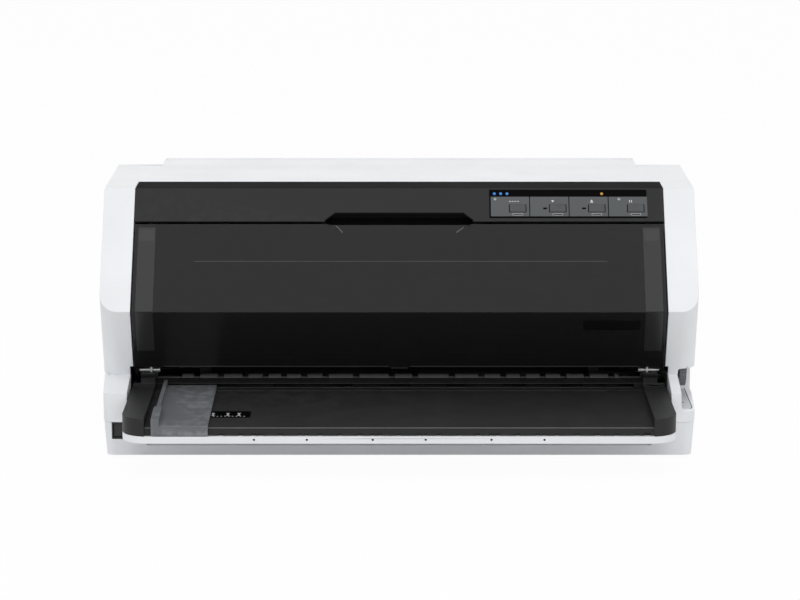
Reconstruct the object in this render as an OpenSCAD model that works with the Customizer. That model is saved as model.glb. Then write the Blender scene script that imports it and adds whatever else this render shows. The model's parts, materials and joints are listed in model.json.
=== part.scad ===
// Flatbed dot matrix printer: white two-part case, dark fascia, smoked cover that hinges
// forward, front paper table, rear sheet guide, and the print and feed mechanism inside.
// Frame: x to the right, y to the back, z up, z = 0 at the bottom of the feet.

/* [Case] */
// Overall width of the case
case_w = 480; // [476:1:490]
// Height of the flat top above the table
top_z = 205; // [203:0.5:207]
// Height of the seam between lower and upper case
seam_z = 29.5; // [29:0.1:29.8]
// Thickness of the moulded walls
wall = 3; // [2.6:0.1:3.2]
// Radius of the upper front corners
corner_r = 14; // [12:1:16]
// Radius of the corners round the foot of the case
wing_r = 10; // [8:1:12]

/* [Front opening] */
// Width of the opening between the cheeks
front_w = 430; // [428:0.5:431]
// Length of the fascia down the slope
fascia_len = 30.5; // [28:0.5:31]
// Thickness of the smoked cover
cover_t = 3; // [2.4:0.1:3.4]

/* [Paper table] */
// Width of the table
table_w = 432; // [430:0.5:433]
// Radius of the table's front corners
table_r = 20; // [16:1:24]
// Height of the raised side borders
border_z = 50; // [49.5:0.1:51]
// Width of each raised side border
border_w = 18.5; // [17:0.5:19]

/* [Mechanism] */
// Diameter of the carriage guide shaft
guide_d = 12; // [10:1:12]
// Diameter of the feed knob
knob_d = 39; // [36:1:39]
// Teeth on each feed roller gear, module 1
roller_teeth = 30; // [30]
// Teeth on the idler gear
idler_teeth = 68; // [68]
// Teeth on the knob gear
knob_teeth = 16; // [16]
// Teeth on the motor pinion
pinion_teeth = 12; // [12]

/* [Hidden] */
$fn = 48;

// Case outline, front to back: [y, z]
half_w = case_w / 2;
front_half = front_w / 2;
foot_h = 2.5;
rear_y = 189;
front_y = -189;
fold = [-34, top_z];
bend = [-101, 116];
waist = [-79.5, 59];
wing_top = [-113, 52.5];
wing_y = -118;
opening_z = 67;
pocket_brow = 64.8;
ridge = [86, top_z];
slope_end = [rear_y, 128];
base_front_y = wing_y + 0.5;
case_profile = [[wing_y, seam_z], wing_top, waist, bend, fold, ridge, slope_end, [rear_y, seam_z]];
// The sides of the foot draw in towards the front
side_draw = 3.2;
draw_from_y = -50;
face_lean = (waist[0] - bend[0]) / (bend[1] - waist[1]);
function face_y(z) = waist[0] - face_lean * (z - waist[1]);

// Front slope: local x across, local y up the slope from the fold, local z outwards
slope_dir = (fold - bend) / norm(fold - bend);
slope_a = atan2(slope_dir[1], slope_dir[0]);
cover_gap = 2.2;
function on_slope_yz(t, h = 0) = fold - t * slope_dir + h * [-slope_dir[1], slope_dir[0]];

// Control panel, in the slope's own axes
panel_x = [73.5, 201];
panel_y = [-27.1, -1.8];
panel_t = 1.2;
key_x = [96.2, 128.7, 160.4, 192];
key_y = -18.8;
key_size = [13, 6.8];
key_clear = 0.4;
key_travel = 1.2;
lamp_at = [[77.4, -5.4], [82.5, -5.4], [87.7, -5.4], [164.7, -5.4], [77.9, -10.4], [178.6, -10.4]];
lamp_r = 1.2;
board_z = -12;

// Cover hinge
hinge = [-72, 62];
hinge_r = 2;
running = 0.05;
ear_r = 5.2;

// Paper path
plate_front_z = 42.2;
plate_rear_z = 46.5;
tray_rear_y = -81;
tray_z = 36;
base_z = 30.4;
plate_front_y = front_y + 2.5;
guide_z = [44.8, 46.8];
frame_x = 200;
frame_t = 1.6;
frame_front = -76.8;

// Rollers and gears
front_roller = [-60, 43];
rear_roller = [38, 43];
roller_r = 4.5;
shaft_r = 3;
pinch_r = 4;
pinch_z = front_roller[1] + roller_r + pinch_r + 0.3;
gear_x = [218, 222];
mesh_clear = 0.25;
idler_at = [(front_roller[0] + rear_roller[0]) / 2, front_roller[1]];
knob_at = [front_roller[0], front_roller[1] + (roller_teeth + knob_teeth) / 2];
pinion_dir = -7 * 360 / idler_teeth;
pinion_at = idler_at + (idler_teeth + pinion_teeth) / 2 * [cos(pinion_dir), sin(pinion_dir)];
stud_r = 4;
motor_shaft_r = 2;

// Carriage and belt
guide_at = [22, 84];
guide_r = guide_d / 2;
pulley_x = 184;
pulley_y = 54;
pulley_r = 7;
belt_t = 1.2;
belt_z = [80, 88];

// Tractors
tractor_guide = [112, 92];
tractor_drive = [134, 92];
tractor_x = 110;
drive_side = 7;
belt_pulley_r = 10;
tractor_belt_x = [-209, -204];
door_pin = [14.5, 103];

// Rear sheet guide
lip_pivot = [88.8, 207.3];
lip_front = [84.6, top_z + 0.3];
lip_crest = [87.5, 210];
lip_pin_r = 1.6;
sheet_half = 198;
cap_x = [198.6, 202.3];
rear_dir = (slope_end - ridge) / norm(slope_end - ridge);
rear_len = norm(slope_end - ridge);
function on_rear(s, h) = ridge + s * rear_dir + h * [-rear_dir[1], rear_dir[0]];

// Shades
white = [0.90, 0.91, 0.92];
dark = [0.16, 0.16, 0.165];
black = [0.06, 0.06, 0.065];
accent = [0.38, 0.39, 0.41];
steel = [0.70, 0.71, 0.73];
rubber = [0.10, 0.10, 0.10];
nylon = [0.86, 0.84, 0.78];
board_green = [0.10, 0.32, 0.20];

// Extrudes a [y, z] outline across x from x0 to x1
module across(x0, x1) {
    translate([x0, 0, 0]) rotate([90, 0, 90]) linear_extrude(x1 - x0) children();
}
// Extrudes an [x, z] outline along y from y0 to y1
module along_y(y0, y1) {
    translate([0, y1, 0]) rotate([90, 0, 0]) linear_extrude(y1 - y0) children();
}
// A rod along x through [y, z]
module rod_x(x0, x1, at, r) {
    translate([x0, at[0], at[1]]) rotate([0, 90, 0]) cylinder(h = x1 - x0, r = r);
}
// A box from low corner to high corner
module box(lo, hi) { translate(lo) cube(hi - lo); }
// Both the shape and its mirror image across x = 0
module both() { children(); mirror([1, 0, 0]) children(); }
// Children drawn in the slope's own axes
module on_slope() { translate([0, fold[0], fold[1]]) rotate([slope_a, 0, 0]) children(); }

function left_normal(a, b) = let (u = (b - a) / norm(b - a)) [-u[1], u[0]];
function corner_shift(a, b, c) =
    let (n = left_normal(a, b), m = left_normal(b, c)) (n + m) / (1 + n * m);
// Closed outline moved to its left by d
function shifted_loop(p, d) = [for (i = [0:len(p) - 1])
    p[i] + d * corner_shift(p[(i + len(p) - 1) % len(p)], p[i], p[(i + 1) % len(p)])];
// Open path moved to its left by d
function shifted_path(p, d) = [for (i = [0:len(p) - 1])
    i == 0 ? p[0] + d * left_normal(p[0], p[1])
    : i == len(p) - 1 ? p[i] + d * left_normal(p[i - 1], p[i])
    : p[i] + d * corner_shift(p[i - 1], p[i], p[i + 1])];
function reversed(p) = [for (i = [len(p) - 1:-1:0]) p[i]];
// Wall of thickness d along an open path
function band(p, d) = concat(p, reversed(shifted_path(p, d)));
function arc(c, r, a0, a1, n = 8) = [for (i = [0:n]) c + r * [cos(a0 + (a1 - a0) * i / n),
    sin(a0 + (a1 - a0) * i / n)]];
// Plan outline with rounded front and rear corners
function plan(hw, y0, y1, rf, rr) = concat(
    arc([hw - rf, y0 + rf], rf, -90, 0), arc([hw - rr, y1 - rr], rr, 0, 90),
    arc([-hw + rr, y1 - rr], rr, 90, 180), arc([-hw + rf, y0 + rf], rf, 180, 270));
// Gear outline, module 1, with a tooth at angle phase
function gear_points(teeth, phase) = [for (i = [0:teeth - 1]) let (
    pitch = teeth / 2, a = phase + i * 360 / teeth, step = 360 / teeth)
    each [for (q = [[-0.34, -1.2], [-0.25 + 0.02 * mesh_clear, -0.1], [-0.10, 0.8],
        [0.10, 0.8], [0.25 - 0.02 * mesh_clear, -0.1], [0.34, -1.2]])
        (pitch + q[1]) * [cos(a + q[0] * step), sin(a + q[0] * step)]]];
module gear(teeth, phase, at, x0, x1, bore_r) {
    translate([0, at[0], at[1]]) across(x0, x1) difference() {
        polygon(gear_points(teeth, phase));
        circle(bore_r);
    }
}

// Plan of the foot of the case, inset by d, with e of that given back at the front and rear
function foot_plan(d, e = 0) = concat(
    arc([half_w - side_draw - wing_r, wing_y + wing_r - e], wing_r - d, -90, 0),
    [[half_w - d, draw_from_y]],
    arc([half_w - corner_r, rear_y - corner_r + e], corner_r - d, 0, 90),
    arc([corner_r - half_w, rear_y - corner_r + e], corner_r - d, 90, 180),
    [[d - half_w, draw_from_y]],
    arc([side_draw + wing_r - half_w, wing_y + wing_r - e], wing_r - d, 180, 270));
// Case body inset by d from the outer skin; the foot below the waist stands further forward
module case_body(d) {
    reach = 150;
    intersection() {
        across(-half_w + d, half_w - d) polygon(shifted_loop(case_profile, -d));
        linear_extrude(top_z) polygon(plan(half_w - d, front_y, rear_y - d, 1, corner_r - d));
        union() {
            // rounded along the receding face above the waist
            intersection() {
                translate([0, waist[0], waist[1]]) rotate([atan(face_lean), 0, 0])
                    translate([0, 0, -reach]) linear_extrude(3 * reach)
                        polygon(plan(half_w - d, d, 2 * reach, corner_r - d, 1));
                box([-half_w, front_y, waist[1]], [half_w, rear_y, top_z]);
            }
            linear_extrude(waist[1]) polygon(foot_plan(d));
        }
    }
}
// Knob recess: its mouth opens forwards under the brow, and its upper part sideways
pocket_x = 225.5;
pocket_wall = 1.5;
pocket_z = [38, 88];
pocket_rear = -36;
pocket_round = 2;
side_opening_y = -66;
grip_x = [227.2, 232.8];
knob_gap = 0.5;
module knob_space(x1) {
    rod_x(pocket_x, x1, knob_at, knob_d / 2 + knob_gap);
    box([pocket_x, knob_at[0], pocket_brow - 1], [x1, pocket_rear, pocket_z[1] - 3]);
}
module upper_case() {
    cheek_path = [[face_y(opening_z), opening_z], bend, fold, [-2, top_z]];
    skin_end = 84;
    lowest = seam_z - 1;
    ahead = wing_y - 8;
    color(white) difference() {
        union() {
            difference() {
                case_body(0);
                case_body(wall);
                // open bottom
                translate([0, 0, lowest]) linear_extrude(wall + 2)
                    polygon(foot_plan(wall));
                // front opening, wider beside the table
                across(-front_half, front_half) polygon([[-2, top_z + 1], [-2, 190], [-60, 110],
                    [-60, opening_z - 1], [ahead, opening_z - 1], [ahead, top_z + 1]]);
                across(-table_w / 2 - 1.5, table_w / 2 + 1.5)
                    polygon([[ahead, lowest], [ahead, opening_z], [-60, opening_z], [-60, lowest]]);
                // rear paper opening
                across(-cap_x[0], cap_x[0]) polygon([[skin_end, top_z + 8],
                    [skin_end, top_z - 10], on_rear(rear_len - 10, -8), on_rear(rear_len - 10, 8)]);
            }
            // cheek return beside the cover, and the foot's inner wall beside the table
            both() across(front_half, front_half + 2.5) polygon(band(cheek_path, -14));
            both() across(table_w / 2 + 1.5, table_w / 2 + 4) polygon([[wing_y, seam_z], wing_top,
                waist, [face_y(opening_z), opening_z], [-77.5, opening_z], [-77.5, seam_z]]);
            // knob recess walls
            intersection() {
                case_body(0);
                across(pocket_x - pocket_wall, half_w) polygon([[ahead, pocket_z[0] - 2],
                    [pocket_rear + 2, pocket_z[0] - 2], [pocket_rear + 2, pocket_z[1] + 2],
                    [ahead, pocket_z[1] + 2]]);
            }
            // ramp that rises to the rear sheet guide
            intersection() {
                across(-cap_x[1], cap_x[1]) polygon([[66, top_z], [66, top_z - 1], [83.6, top_z - 1],
                    [83.6, lip_crest[1] - 0.4]]);
                along_y(60, 90) polygon([[-cap_x[1], top_z - 2], [cap_x[1], top_z - 2],
                    [cap_x[1], top_z], [cap_x[0] + 1, lip_crest[1]], [-cap_x[0] - 1, lip_crest[1]],
                    [-cap_x[1], top_z]]);
            }
            // chamfered caps at the ends of the rear sheet guide, each with its hinge pin
            both() {
                intersection() {
                    across(cap_x[0], cap_x[1]) polygon([[lip_front[0], top_z - wall], lip_front,
                        lip_crest, [91.5, lip_crest[1]], [91.5, top_z - wall - 3]]);
                    along_y(skin_end, 92) polygon([[cap_x[0], top_z - wall - 3],
                        [cap_x[1], top_z - wall - 3], [cap_x[1], top_z], [cap_x[0] + 1, lip_crest[1]],
                        [cap_x[0], lip_crest[1]]]);
                }
                rod_x(sheet_half - 2.2, cap_x[0] + 0.8, lip_pivot, lip_pin_r);
            }
        }
        along_y(ahead, pocket_rear) polygon(concat([[half_w + 1, pocket_brow]],
            arc([pocket_x + pocket_round, pocket_brow - pocket_round], pocket_round, 90, 180),
            arc([pocket_x + pocket_round, pocket_z[0] + pocket_round], pocket_round, 180, 270),
            [[half_w + 1, pocket_z[0]]]));
        knob_space(grip_x[1] + knob_gap);
        intersection() {
            knob_space(half_w + 1);
            box([pocket_x, side_opening_y, pocket_brow - 1], [half_w + 1, pocket_rear, pocket_z[1]]);
        }
        rod_x(pocket_x - pocket_wall - 1, pocket_x + 1, knob_at, shaft_r + 1);
    }
}
screw_at = [for (x = [-226, 226], y = [-60, 60, 150]) [x, y]];
foot_at = [for (x = [-200, 200], y = [-85, 160]) [x, y]];
switch_x = [-229.7, -207.7];
switch_low = 15.4;
module lower_case() {
    foot_round = 4.5;
    recess_half = 202;
    recess_z = 10.5;
    recess_y = base_front_y + 6;
    side_lean = 4.6;
    outline = concat([[half_w - 0.5, seam_z]], arc([half_w - 2.3 - foot_round, foot_h + foot_round],
        foot_round, 0, -90, 6));
    color(white) difference() {
        union() {
            difference() {
                intersection() {
                    translate([0, 0, foot_h]) linear_extrude(seam_z - foot_h)
                        polygon(foot_plan(0.5));
                    translate([0, rear_y + 1, 0]) rotate([90, 0, 0])
                        linear_extrude(rear_y - front_y) polygon(concat(outline,
                            [for (i = [len(outline) - 1:-1:0]) [-outline[i][0], outline[i][1]]]));
                }
                // leaning sides beside the foot
                both() translate([half_w - 0.5, draw_from_y, seam_z])
                    rotate([0, 0, -atan(side_draw / (draw_from_y - wing_y - wing_r))])
                        rotate([0, side_lean, 0]) box([0, -100, -40], [20, 3, 0]);
                translate([0, 0, foot_h + wall]) linear_extrude(seam_z)
                    polygon(foot_plan(wall + 2.7, 2.2));
            }
            // wall and ledge behind the recess under the table
            box([-recess_half - wall, base_front_y + 1, recess_z - wall],
                [recess_half + wall, recess_y + wall, recess_z]);
            box([-recess_half - wall, base_front_y + 1, recess_z - wall],
                [recess_half + wall, recess_y + wall, seam_z]);
            for (p = screw_at) translate([p[0], p[1], foot_h + 1]) cylinder(h = 14, r = 4.5);
        }
        box([-recess_half, front_y, recess_z], [recess_half, recess_y, seam_z + 1]);
        for (p = screw_at) translate([p[0], p[1], 0]) {
            cylinder(h = 30, r = 1.65);
            cylinder(h = foot_h + 1.6, r = 3.8);
        }
        box([switch_x[0], front_y, switch_low], [switch_x[1], base_front_y + wall + 1, seam_z + 1]);
        box([-204, rear_y - 5, 8], [-176, rear_y + 5, 26]);
        box([95.5, rear_y - 5, 13], [149.5, rear_y + 5, 26.6]);
        box([165.5, rear_y - 5, 13], [177.5, rear_y + 5, 25]);
    }
}
module fascia() {
    outer = [on_slope_yz(fascia_len), fold, [-2, top_z]];
    color(dark) difference() {
        union() {
            across(-front_half, front_half) polygon(band(outer, -wall));
            on_slope() difference() {
                union() {
                    box([-62, -36, -14], [62, -19, -3.4]);
                    box([-62, 0.1 - fascia_len, -4], [62, -19, -2.9]);
                }
                box([-60, -37, -12], [60, -21, 1]);
            }
            on_slope() for (x = [80, 112.5, 176]) translate([x, -24, board_z])
                cylinder(h = -board_z - 1.5, r = 1.8);
        }
        // finger cut-out above the cover's top edge
        on_slope() translate([0, 0, -wall - 1]) linear_extrude(wall + 2)
            polygon([[-52, -22.5], [52, -22.5], [60, -29], [60, -33], [-60, -33], [-60, -29]]);
        on_slope() {
            box([panel_x[0], panel_y[0], -panel_t], [panel_x[1], panel_y[1], 2]);
            key_holes();
            lamp_holes();
        }
    }
}
module key_holes() {
    for (x = key_x) box([x - key_size[0] / 2 - key_clear, key_y - key_size[1] / 2 - key_clear, -5],
        [x + key_size[0] / 2 + key_clear, key_y + key_size[1] / 2 + key_clear, 2]);
}
module lamp_holes() {
    for (p = lamp_at) translate([p[0], p[1], -5]) cylinder(h = 7, r = lamp_r + 0.1);
}
module control_panel() {
    color(black) on_slope() difference() {
        box([panel_x[0], panel_y[0], -panel_t], [panel_x[1], panel_y[1], 0.3]);
        key_holes();
        lamp_holes();
    }
}
module indicator_lamps() {
    color([0.3, 0.6, 0.9]) on_slope() for (p = lamp_at) translate([p[0], p[1], board_z])
        cylinder(h = -board_z + 0.5, r = lamp_r);
}
module panel_board() {
    color(board_green) on_slope() {
        box([72, -28, board_z - 1.6], [204, -1, board_z]);
        for (x = key_x) box([x - 3, key_y - 3, board_z], [x + 3, key_y + 3, board_z + 0.4]);
    }
}
module key(x) {
    top = 1;
    color(accent) on_slope()
        box([x - key_size[0] / 2, key_y - key_size[1] / 2, board_z + 0.6 + key_travel],
            [x + key_size[0] / 2, key_y + key_size[1] / 2, top]);
}
module menu_key() { key(key_x[0]); }
module line_feed_key() { key(key_x[1]); }
module load_key() { key(key_x[2]); }
module pause_key() { key(key_x[3]); }

cover_low = 66.5;
cover_path = [[face_y(cover_low), cover_low], bend, on_slope_yz(fascia_len + cover_gap)];
cover_half = front_half - 1;
cover_rib = 3.5;
module printer_cover() {
    ear = [cover_half - cover_rib, cover_half];
    color(dark) difference() {
        union() {
            across(-cover_half, cover_half) polygon(band(cover_path, -cover_t));
            both() across(ear[0], ear[1]) polygon(band(cover_path, -9));
            both() rod_x(ear[0], ear[1], hinge, ear_r);
            both() across(ear[0], ear[1]) polygon([cover_path[0], [face_y(80), 80],
                [hinge[0] + ear_r, 80], [hinge[0] + ear_r, hinge[1]],
                [hinge[0] - 3, hinge[1] - 3.8]]);
        }
        both() rod_x(ear[0] - 1, ear[1] + 1, hinge, hinge_r + running);
        // scooped top edge behind the finger cut-out
        on_slope() translate([0, -fascia_len - cover_gap - 8, 0]) rotate([-12, 0, 0])
            box([-57, 0, 0], [57, 12, 6]);
    }
}
module cover_hinge_pins() { color(steel) both() rod_x(194, cover_half - 0.2, hinge, hinge_r); }

function plate_z(y) = plate_front_z + (y - front_y) / (tray_rear_y - front_y)
    * (plate_rear_z - plate_front_z);
plate_half = table_w / 2 - border_w;
notch_pitch = 15.35;
pocket_at = [20.5, 71.5, 112.5];
cradle_x = [196, 209.2];
cradle_top = 61;
cradle_r = 8.9;
barrel_r = 7.6;
cradle_foot_y = -79.4;
// Cradle for a cover hinge pin: a wall before the side frame, with half a barrel on each side of it
module hinge_cradle() {
    drop = hinge[1] - cradle_top;
    dip = asin(drop / cradle_r);
    barrel_dip = asin(drop / barrel_r);
    back = frame_front - 0.4;
    difference() {
        union() {
            across(cradle_x[0], cradle_x[1]) polygon(concat([[back, 50], [back, cradle_top]],
                arc(hinge, cradle_r, 180 + dip, 180 + acos((hinge[0] - cradle_foot_y) / cradle_r)),
                [[cradle_foot_y, 50]]));
            for (x = [[cradle_x[0], frame_x - 0.4], [frame_x + frame_t + 0.4, cradle_x[1]]])
                across(x[0], x[1]) polygon(arc(hinge, barrel_r, 180 + barrel_dip, 360 - barrel_dip, 16));
        }
        rod_x(cradle_x[0] - 1, cradle_x[1] + 1, hinge, hinge_r + 0.3);
    }
}
module table_tray() {
    color(dark) difference() {
        union() {
            translate([0, 0, tray_z]) linear_extrude(border_z - tray_z)
                polygon(plan(table_w / 2, front_y, tray_rear_y, table_r, 1));
            both() box([cradle_x[0], tray_rear_y, guide_z[1] + 0.4],
                [table_w / 2 - 0.5, frame_front - 0.4, 52.5]);
            both() hinge_cradle();
        }
        across(-plate_half, plate_half) polygon([[-200, plate_z(-200)], [-70, plate_z(-70)],
            [-70, 70], [-200, 70]]);
        box([-plate_half, front_y - 1, 30], [plate_half, plate_front_y, 60]);
        for (x = concat([for (i = [-12:12]) i * notch_pitch], pocket_at, -pocket_at))
            box([x - 1.6, plate_front_y - 1, tray_z - 1], [x + 1.6, plate_front_y + 1, tray_z + 1.6]);
        box([190, plate_front_y - 1, tray_z - 1], [195, plate_front_y + 2, tray_z + 2.4]);
    }
}
module table_base() {
    color(white) difference() {
        translate([0, 0, base_z]) linear_extrude(tray_z - base_z)
            polygon(plan(table_w / 2, front_y, tray_rear_y, table_r, 1));
        translate([0, 0, base_z - 1]) linear_extrude(4)
            polygon(plan(table_w / 2 - wall, front_y + wall, tray_rear_y - wall, table_r - wall, 1));
        for (x = pocket_at) both() translate([x, front_y + 1.5, base_z + 3])
            rotate([90, 0, 0]) cylinder(h = 4, r = 0.9);
    }
}
guide_x = [-191, -148.2];
guide_rear_y = -70.5;
module edge_guide() {
    gap = 0.3;
    function lane(y0, y1, h) = [[y0, plate_z(y0) + gap], [y0, plate_z(y0) + h],
        [y1, plate_z(y1) + h], [y1, plate_z(y1) + gap]];
    color(accent) {
        across(guide_x[0], guide_x[1]) polygon(lane(front_y, guide_rear_y, 2));
        across(guide_x[0], guide_x[0] + 3) polygon(lane(front_y, guide_rear_y, 6.5));
        across(guide_x[0] - 1.3, guide_x[0] + 5) polygon([[front_y, tray_z + 0.6],
            [front_y, plate_z(front_y) + 7.5], [-158, plate_z(-158) + 8.5],
            [-151, plate_z(-151) + 7.2], [-148, plate_z(-148) + 3], [-148, plate_z(-148) + 0.6],
            [plate_front_y - 0.4, plate_z(plate_front_y) + 0.6], [plate_front_y - 0.4, tray_z + 0.6]]);
        box([guide_x[0], front_y, tray_z + 0.6], [guide_x[1], plate_front_y - 0.4,
            plate_front_z + 1]);
    }
}

module paper_feed_knob() {
    ribs = 36;
    color(accent) {
        rod_x(frame_x - 1, grip_x[0] + 1, knob_at, shaft_r);
        gear(knob_teeth, 0, knob_at, gear_x[0], gear_x[1], shaft_r - 0.5);
        translate([0, knob_at[0], knob_at[1]]) across(grip_x[0], grip_x[1]) polygon(
            [for (i = [0:4 * ribs - 1]) (knob_d / 2 - (i % 4 < 2 ? 0 : 0.8))
                * [cos(i * 90 / ribs), sin(i * 90 / ribs)]]);
    }
}
switch_at = [(switch_x[0] + switch_x[1]) / 2, base_front_y + 7];
switch_z = [switch_low + 1.5, seam_z - 2];
module power_switch() {
    tilt = -6;
    color(black) translate([switch_at[0], switch_at[1], 0]) rotate([0, 0, tilt]) {
        translate([0, 0, switch_z[0]]) linear_extrude(switch_z[1] - switch_z[0])
            polygon([[-9, -6], [0, -4.4], [9, -6], [8, 1], [0, 2.4], [-8, 1]]);
        translate([0, 0, switch_z[0] - 1.2]) cylinder(h = switch_z[1] - switch_z[0] + 2.4, r = 1);
    }
}
module switch_body() {
    color(black) difference() {
        box([switch_x[0] + 0.3, base_front_y + 1, switch_low + 0.2],
            [switch_x[1] - 0.3, base_front_y + 15.5, seam_z - 0.4]);
        box([switch_at[0] - 9.9, base_front_y, switch_z[0] - 0.3],
            [switch_at[0] + 9.9, base_front_y + 11.5, switch_z[1] + 0.3]);
        translate([switch_at[0], switch_at[1], switch_z[0] - 1.4])
            cylinder(h = switch_z[1] - switch_z[0] + 2.8, r = 1 + running);
    }
}
module rubber_feet() {
    color(rubber) for (p = foot_at) translate([p[0], p[1], 0]) cylinder(h = foot_h, r = 11);
}
module case_screws() {
    color(steel) for (p = screw_at) translate([p[0], p[1], foot_h + 0.2]) {
        difference() {
            cylinder(h = 1.4, r = 3.4);
            box([-2, -0.4, -1], [2, 0.4, 0.7]);
            box([-0.4, -2, -1], [0.4, 2, 0.7]);
        }
        cylinder(h = 11, r = 1.6);
    }
}

pinch_front = [front_roller[0], pinch_z];
pinch_rear = [rear_roller[0], pinch_z];
bush_r = 5;
drive_bush_r = 7;
module side_frame() {
    difference() {
        across(frame_x, frame_x + frame_t) polygon([
            [frame_front, 6], [frame_front, 96], [-60, 112], [60, 118],
            [148, 108], [148, 6]]);
        for (h = [[front_roller, bush_r], [rear_roller, bush_r], [hinge, hinge_r],
            [pinch_front, 2 + running], [pinch_rear, 2 + running], [guide_at, guide_r],
            [tractor_guide, 4], [tractor_drive, drive_bush_r]])
            rod_x(frame_x - 1, frame_x + frame_t + 1, h[0], h[1]);
    }
}
module left_side_frame() { color(steel) mirror([1, 0, 0]) side_frame(); }
module right_side_frame() {
    color(steel) {
        difference() {
            side_frame();
            rod_x(frame_x - 1, frame_x + frame_t + 1, knob_at, bush_r);
            rod_x(frame_x - 1, frame_x + frame_t + 1, pinion_at, 3);
        }
        rod_x(frame_x + frame_t - 0.5, gear_x[1] + 1.4, idler_at, stud_r);
    }
}
module bush(x0, at, r_out, r_in) {
    difference() {
        rod_x(x0, x0 + 4, at, r_out);
        rod_x(x0 - 1, x0 + 5, at, r_in);
    }
}
module shaft_bushes() {
    x0 = frame_x - 1.2;
    color(nylon) {
        both() bush(x0, front_roller, bush_r, shaft_r + running);
        both() bush(x0, rear_roller, bush_r, shaft_r + running);
        both() bush(x0, tractor_drive, drive_bush_r, drive_side / sqrt(2) + running);
        bush(x0, knob_at, bush_r, shaft_r + running);
    }
}
module cross_beam() {
    color(steel) across(-frame_x, frame_x) polygon([[70, 60], [70, 110], [58, 110], [58, 112],
        [72, 112], [72, 60]]);
}
module platen() { color(rubber) box([-frame_x, -13, 39], [frame_x, -1, guide_z[1]]); }
module front_paper_guide() {
    color(dark) difference() {
        union() {
            box([-198.4, -79.5, guide_z[0]], [198.4, -14, guide_z[1]]);
            both() box([191, front_roller[0] - 8, guide_z[0]], [198.4, front_roller[0] + 8, 48.8]);
            // bar over the paper, in front of the pinch rollers
            across(-198.4, 198.4) polygon([[-70, 49.4], [-70, 50.2], [-66.2, 53.4], [-65, 53.4],
                [-65, 51.6]]);
            both() across(191, 198.4) polygon([[-70, guide_z[0]], [-70, 50.2], [-66.2, 53.4],
                [-65, 53.4], [-65, guide_z[0]]]);
        }
        box([-191, front_roller[0] - 6, 40], [191, front_roller[0] + 6, 50]);
        rod_x(-205, 205, front_roller, shaft_r + 0.4);
    }
}
module rear_paper_guide() {
    color(dark) {
        difference() {
            union() {
                across(-165, 165) polygon(band([[0, guide_z[1]], [98, guide_z[1]], [146, 72]], -2));
                both() box([159, rear_roller[0] - 8, guide_z[0]], [165, rear_roller[0] + 8, 48.8]);
            }
            box([-159, rear_roller[0] - 6, 40], [159, rear_roller[0] + 6, 50]);
            rod_x(-170, 170, rear_roller, shaft_r + 0.4);
        }
        both() box([164.5, 80, guide_z[0]], [frame_x, 90, guide_z[1]]);
    }
}
module guide_shaft() { color(steel) rod_x(-frame_x - 3, frame_x + 3, guide_at, guide_r); }

belt_out = pulley_r + running + belt_t;
module carriage() {
    color(black) difference() {
        union() {
            box([-32, 8, 70], [32, 42, 98]);
            box([-16, -2, 70], [16, 9, 95]);
            box([-12, 36, 97], [12, 66, 109.4]);
            box([-12, 41, 74], [12, 50.5, 98]);
        }
        rod_x(-40, 40, guide_at, guide_r + running);
        box([-20, pulley_y - belt_out - 0.5, belt_z[0] - 0.6],
            [20, pulley_y - pulley_r + 0.5, belt_z[1] + 0.6]);
    }
}
module print_head() {
    color(steel) {
        box([-7, -13, 48.6], [7, -3, 60]);
        box([-15, -22, 58], [15, -2, 76]);
        for (i = [0:4]) box([-15, -22 + i * 4.4, 75], [15, -20 + i * 4.4, 92]);
    }
}
module carriage_motor() {
    color(black) difference() {
        union() {
            translate([-pulley_x, pulley_y, 56]) cylinder(h = 20, r = 15);
            box([-frame_x, 40, 75.5], [-169, 69, 77.5]);
        }
        translate([-pulley_x, pulley_y, 64]) cylinder(h = 20, r = motor_shaft_r + running);
    }
}
module pulley(x) {
    translate([x, pulley_y, 0]) {
        translate([0, 0, 79]) cylinder(h = 10, r = pulley_r);
        for (z = [79, 88.3]) translate([0, 0, z]) cylinder(h = 0.7, r = pulley_r + 2.4);
    }
}
module motor_pulley() {
    color(nylon) {
        pulley(-pulley_x);
        translate([-pulley_x, pulley_y, 66]) cylinder(h = 20, r = motor_shaft_r);
    }
}
module idler_pulley() {
    color(nylon) difference() {
        pulley(pulley_x);
        translate([pulley_x, pulley_y, 70]) cylinder(h = 30, r = motor_shaft_r + running);
    }
}
module belt_tensioner() {
    color(steel) {
        box([169, 40, 75.5], [frame_x, 69, 77.5]);
        translate([pulley_x, pulley_y, 77]) cylinder(h = 14, r = motor_shaft_r);
    }
}
// Outline of a belt's loop round two centres
function loop_points(a, b, r, n = 24) = let (t = atan2(b[1] - a[1], b[0] - a[0]))
    concat(arc(a, r, t + 90, t + 270, n), arc(b, r, t - 90, t + 90, n));
module carriage_belt() {
    a = [-pulley_x, pulley_y];
    b = [pulley_x, pulley_y];
    color(rubber) translate([0, 0, belt_z[0]]) linear_extrude(belt_z[1] - belt_z[0]) difference() {
        polygon(loop_points(a, b, belt_out));
        polygon(loop_points(a, b, pulley_r + running));
    }
}

ribbon_knob_at = [-140, -56];
module ribbon_cartridge() {
    color(dark) difference() {
        union() {
            box([-168, -76, 93], [168, -36, 114]);
            both() box([156, -40, 50], [164, -28, 94]);
            both() box([156, -29, 47.2], [164, 0, 53]);
            both() box([167, -62, 96], [frame_x, -52, 100]);
            box([-157, -12, 47.3], [157, -2, 47.6]);
        }
        translate([ribbon_knob_at[0], ribbon_knob_at[1], 104]) cylinder(h = 12, r = 3 + running);
    }
}
module ribbon_knob() {
    color(accent) translate([ribbon_knob_at[0], ribbon_knob_at[1], 0]) {
        translate([0, 0, 105]) cylinder(h = 10, r = 3);
        translate([0, 0, 114.4]) cylinder(h = 6, r = 9);
    }
}

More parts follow.
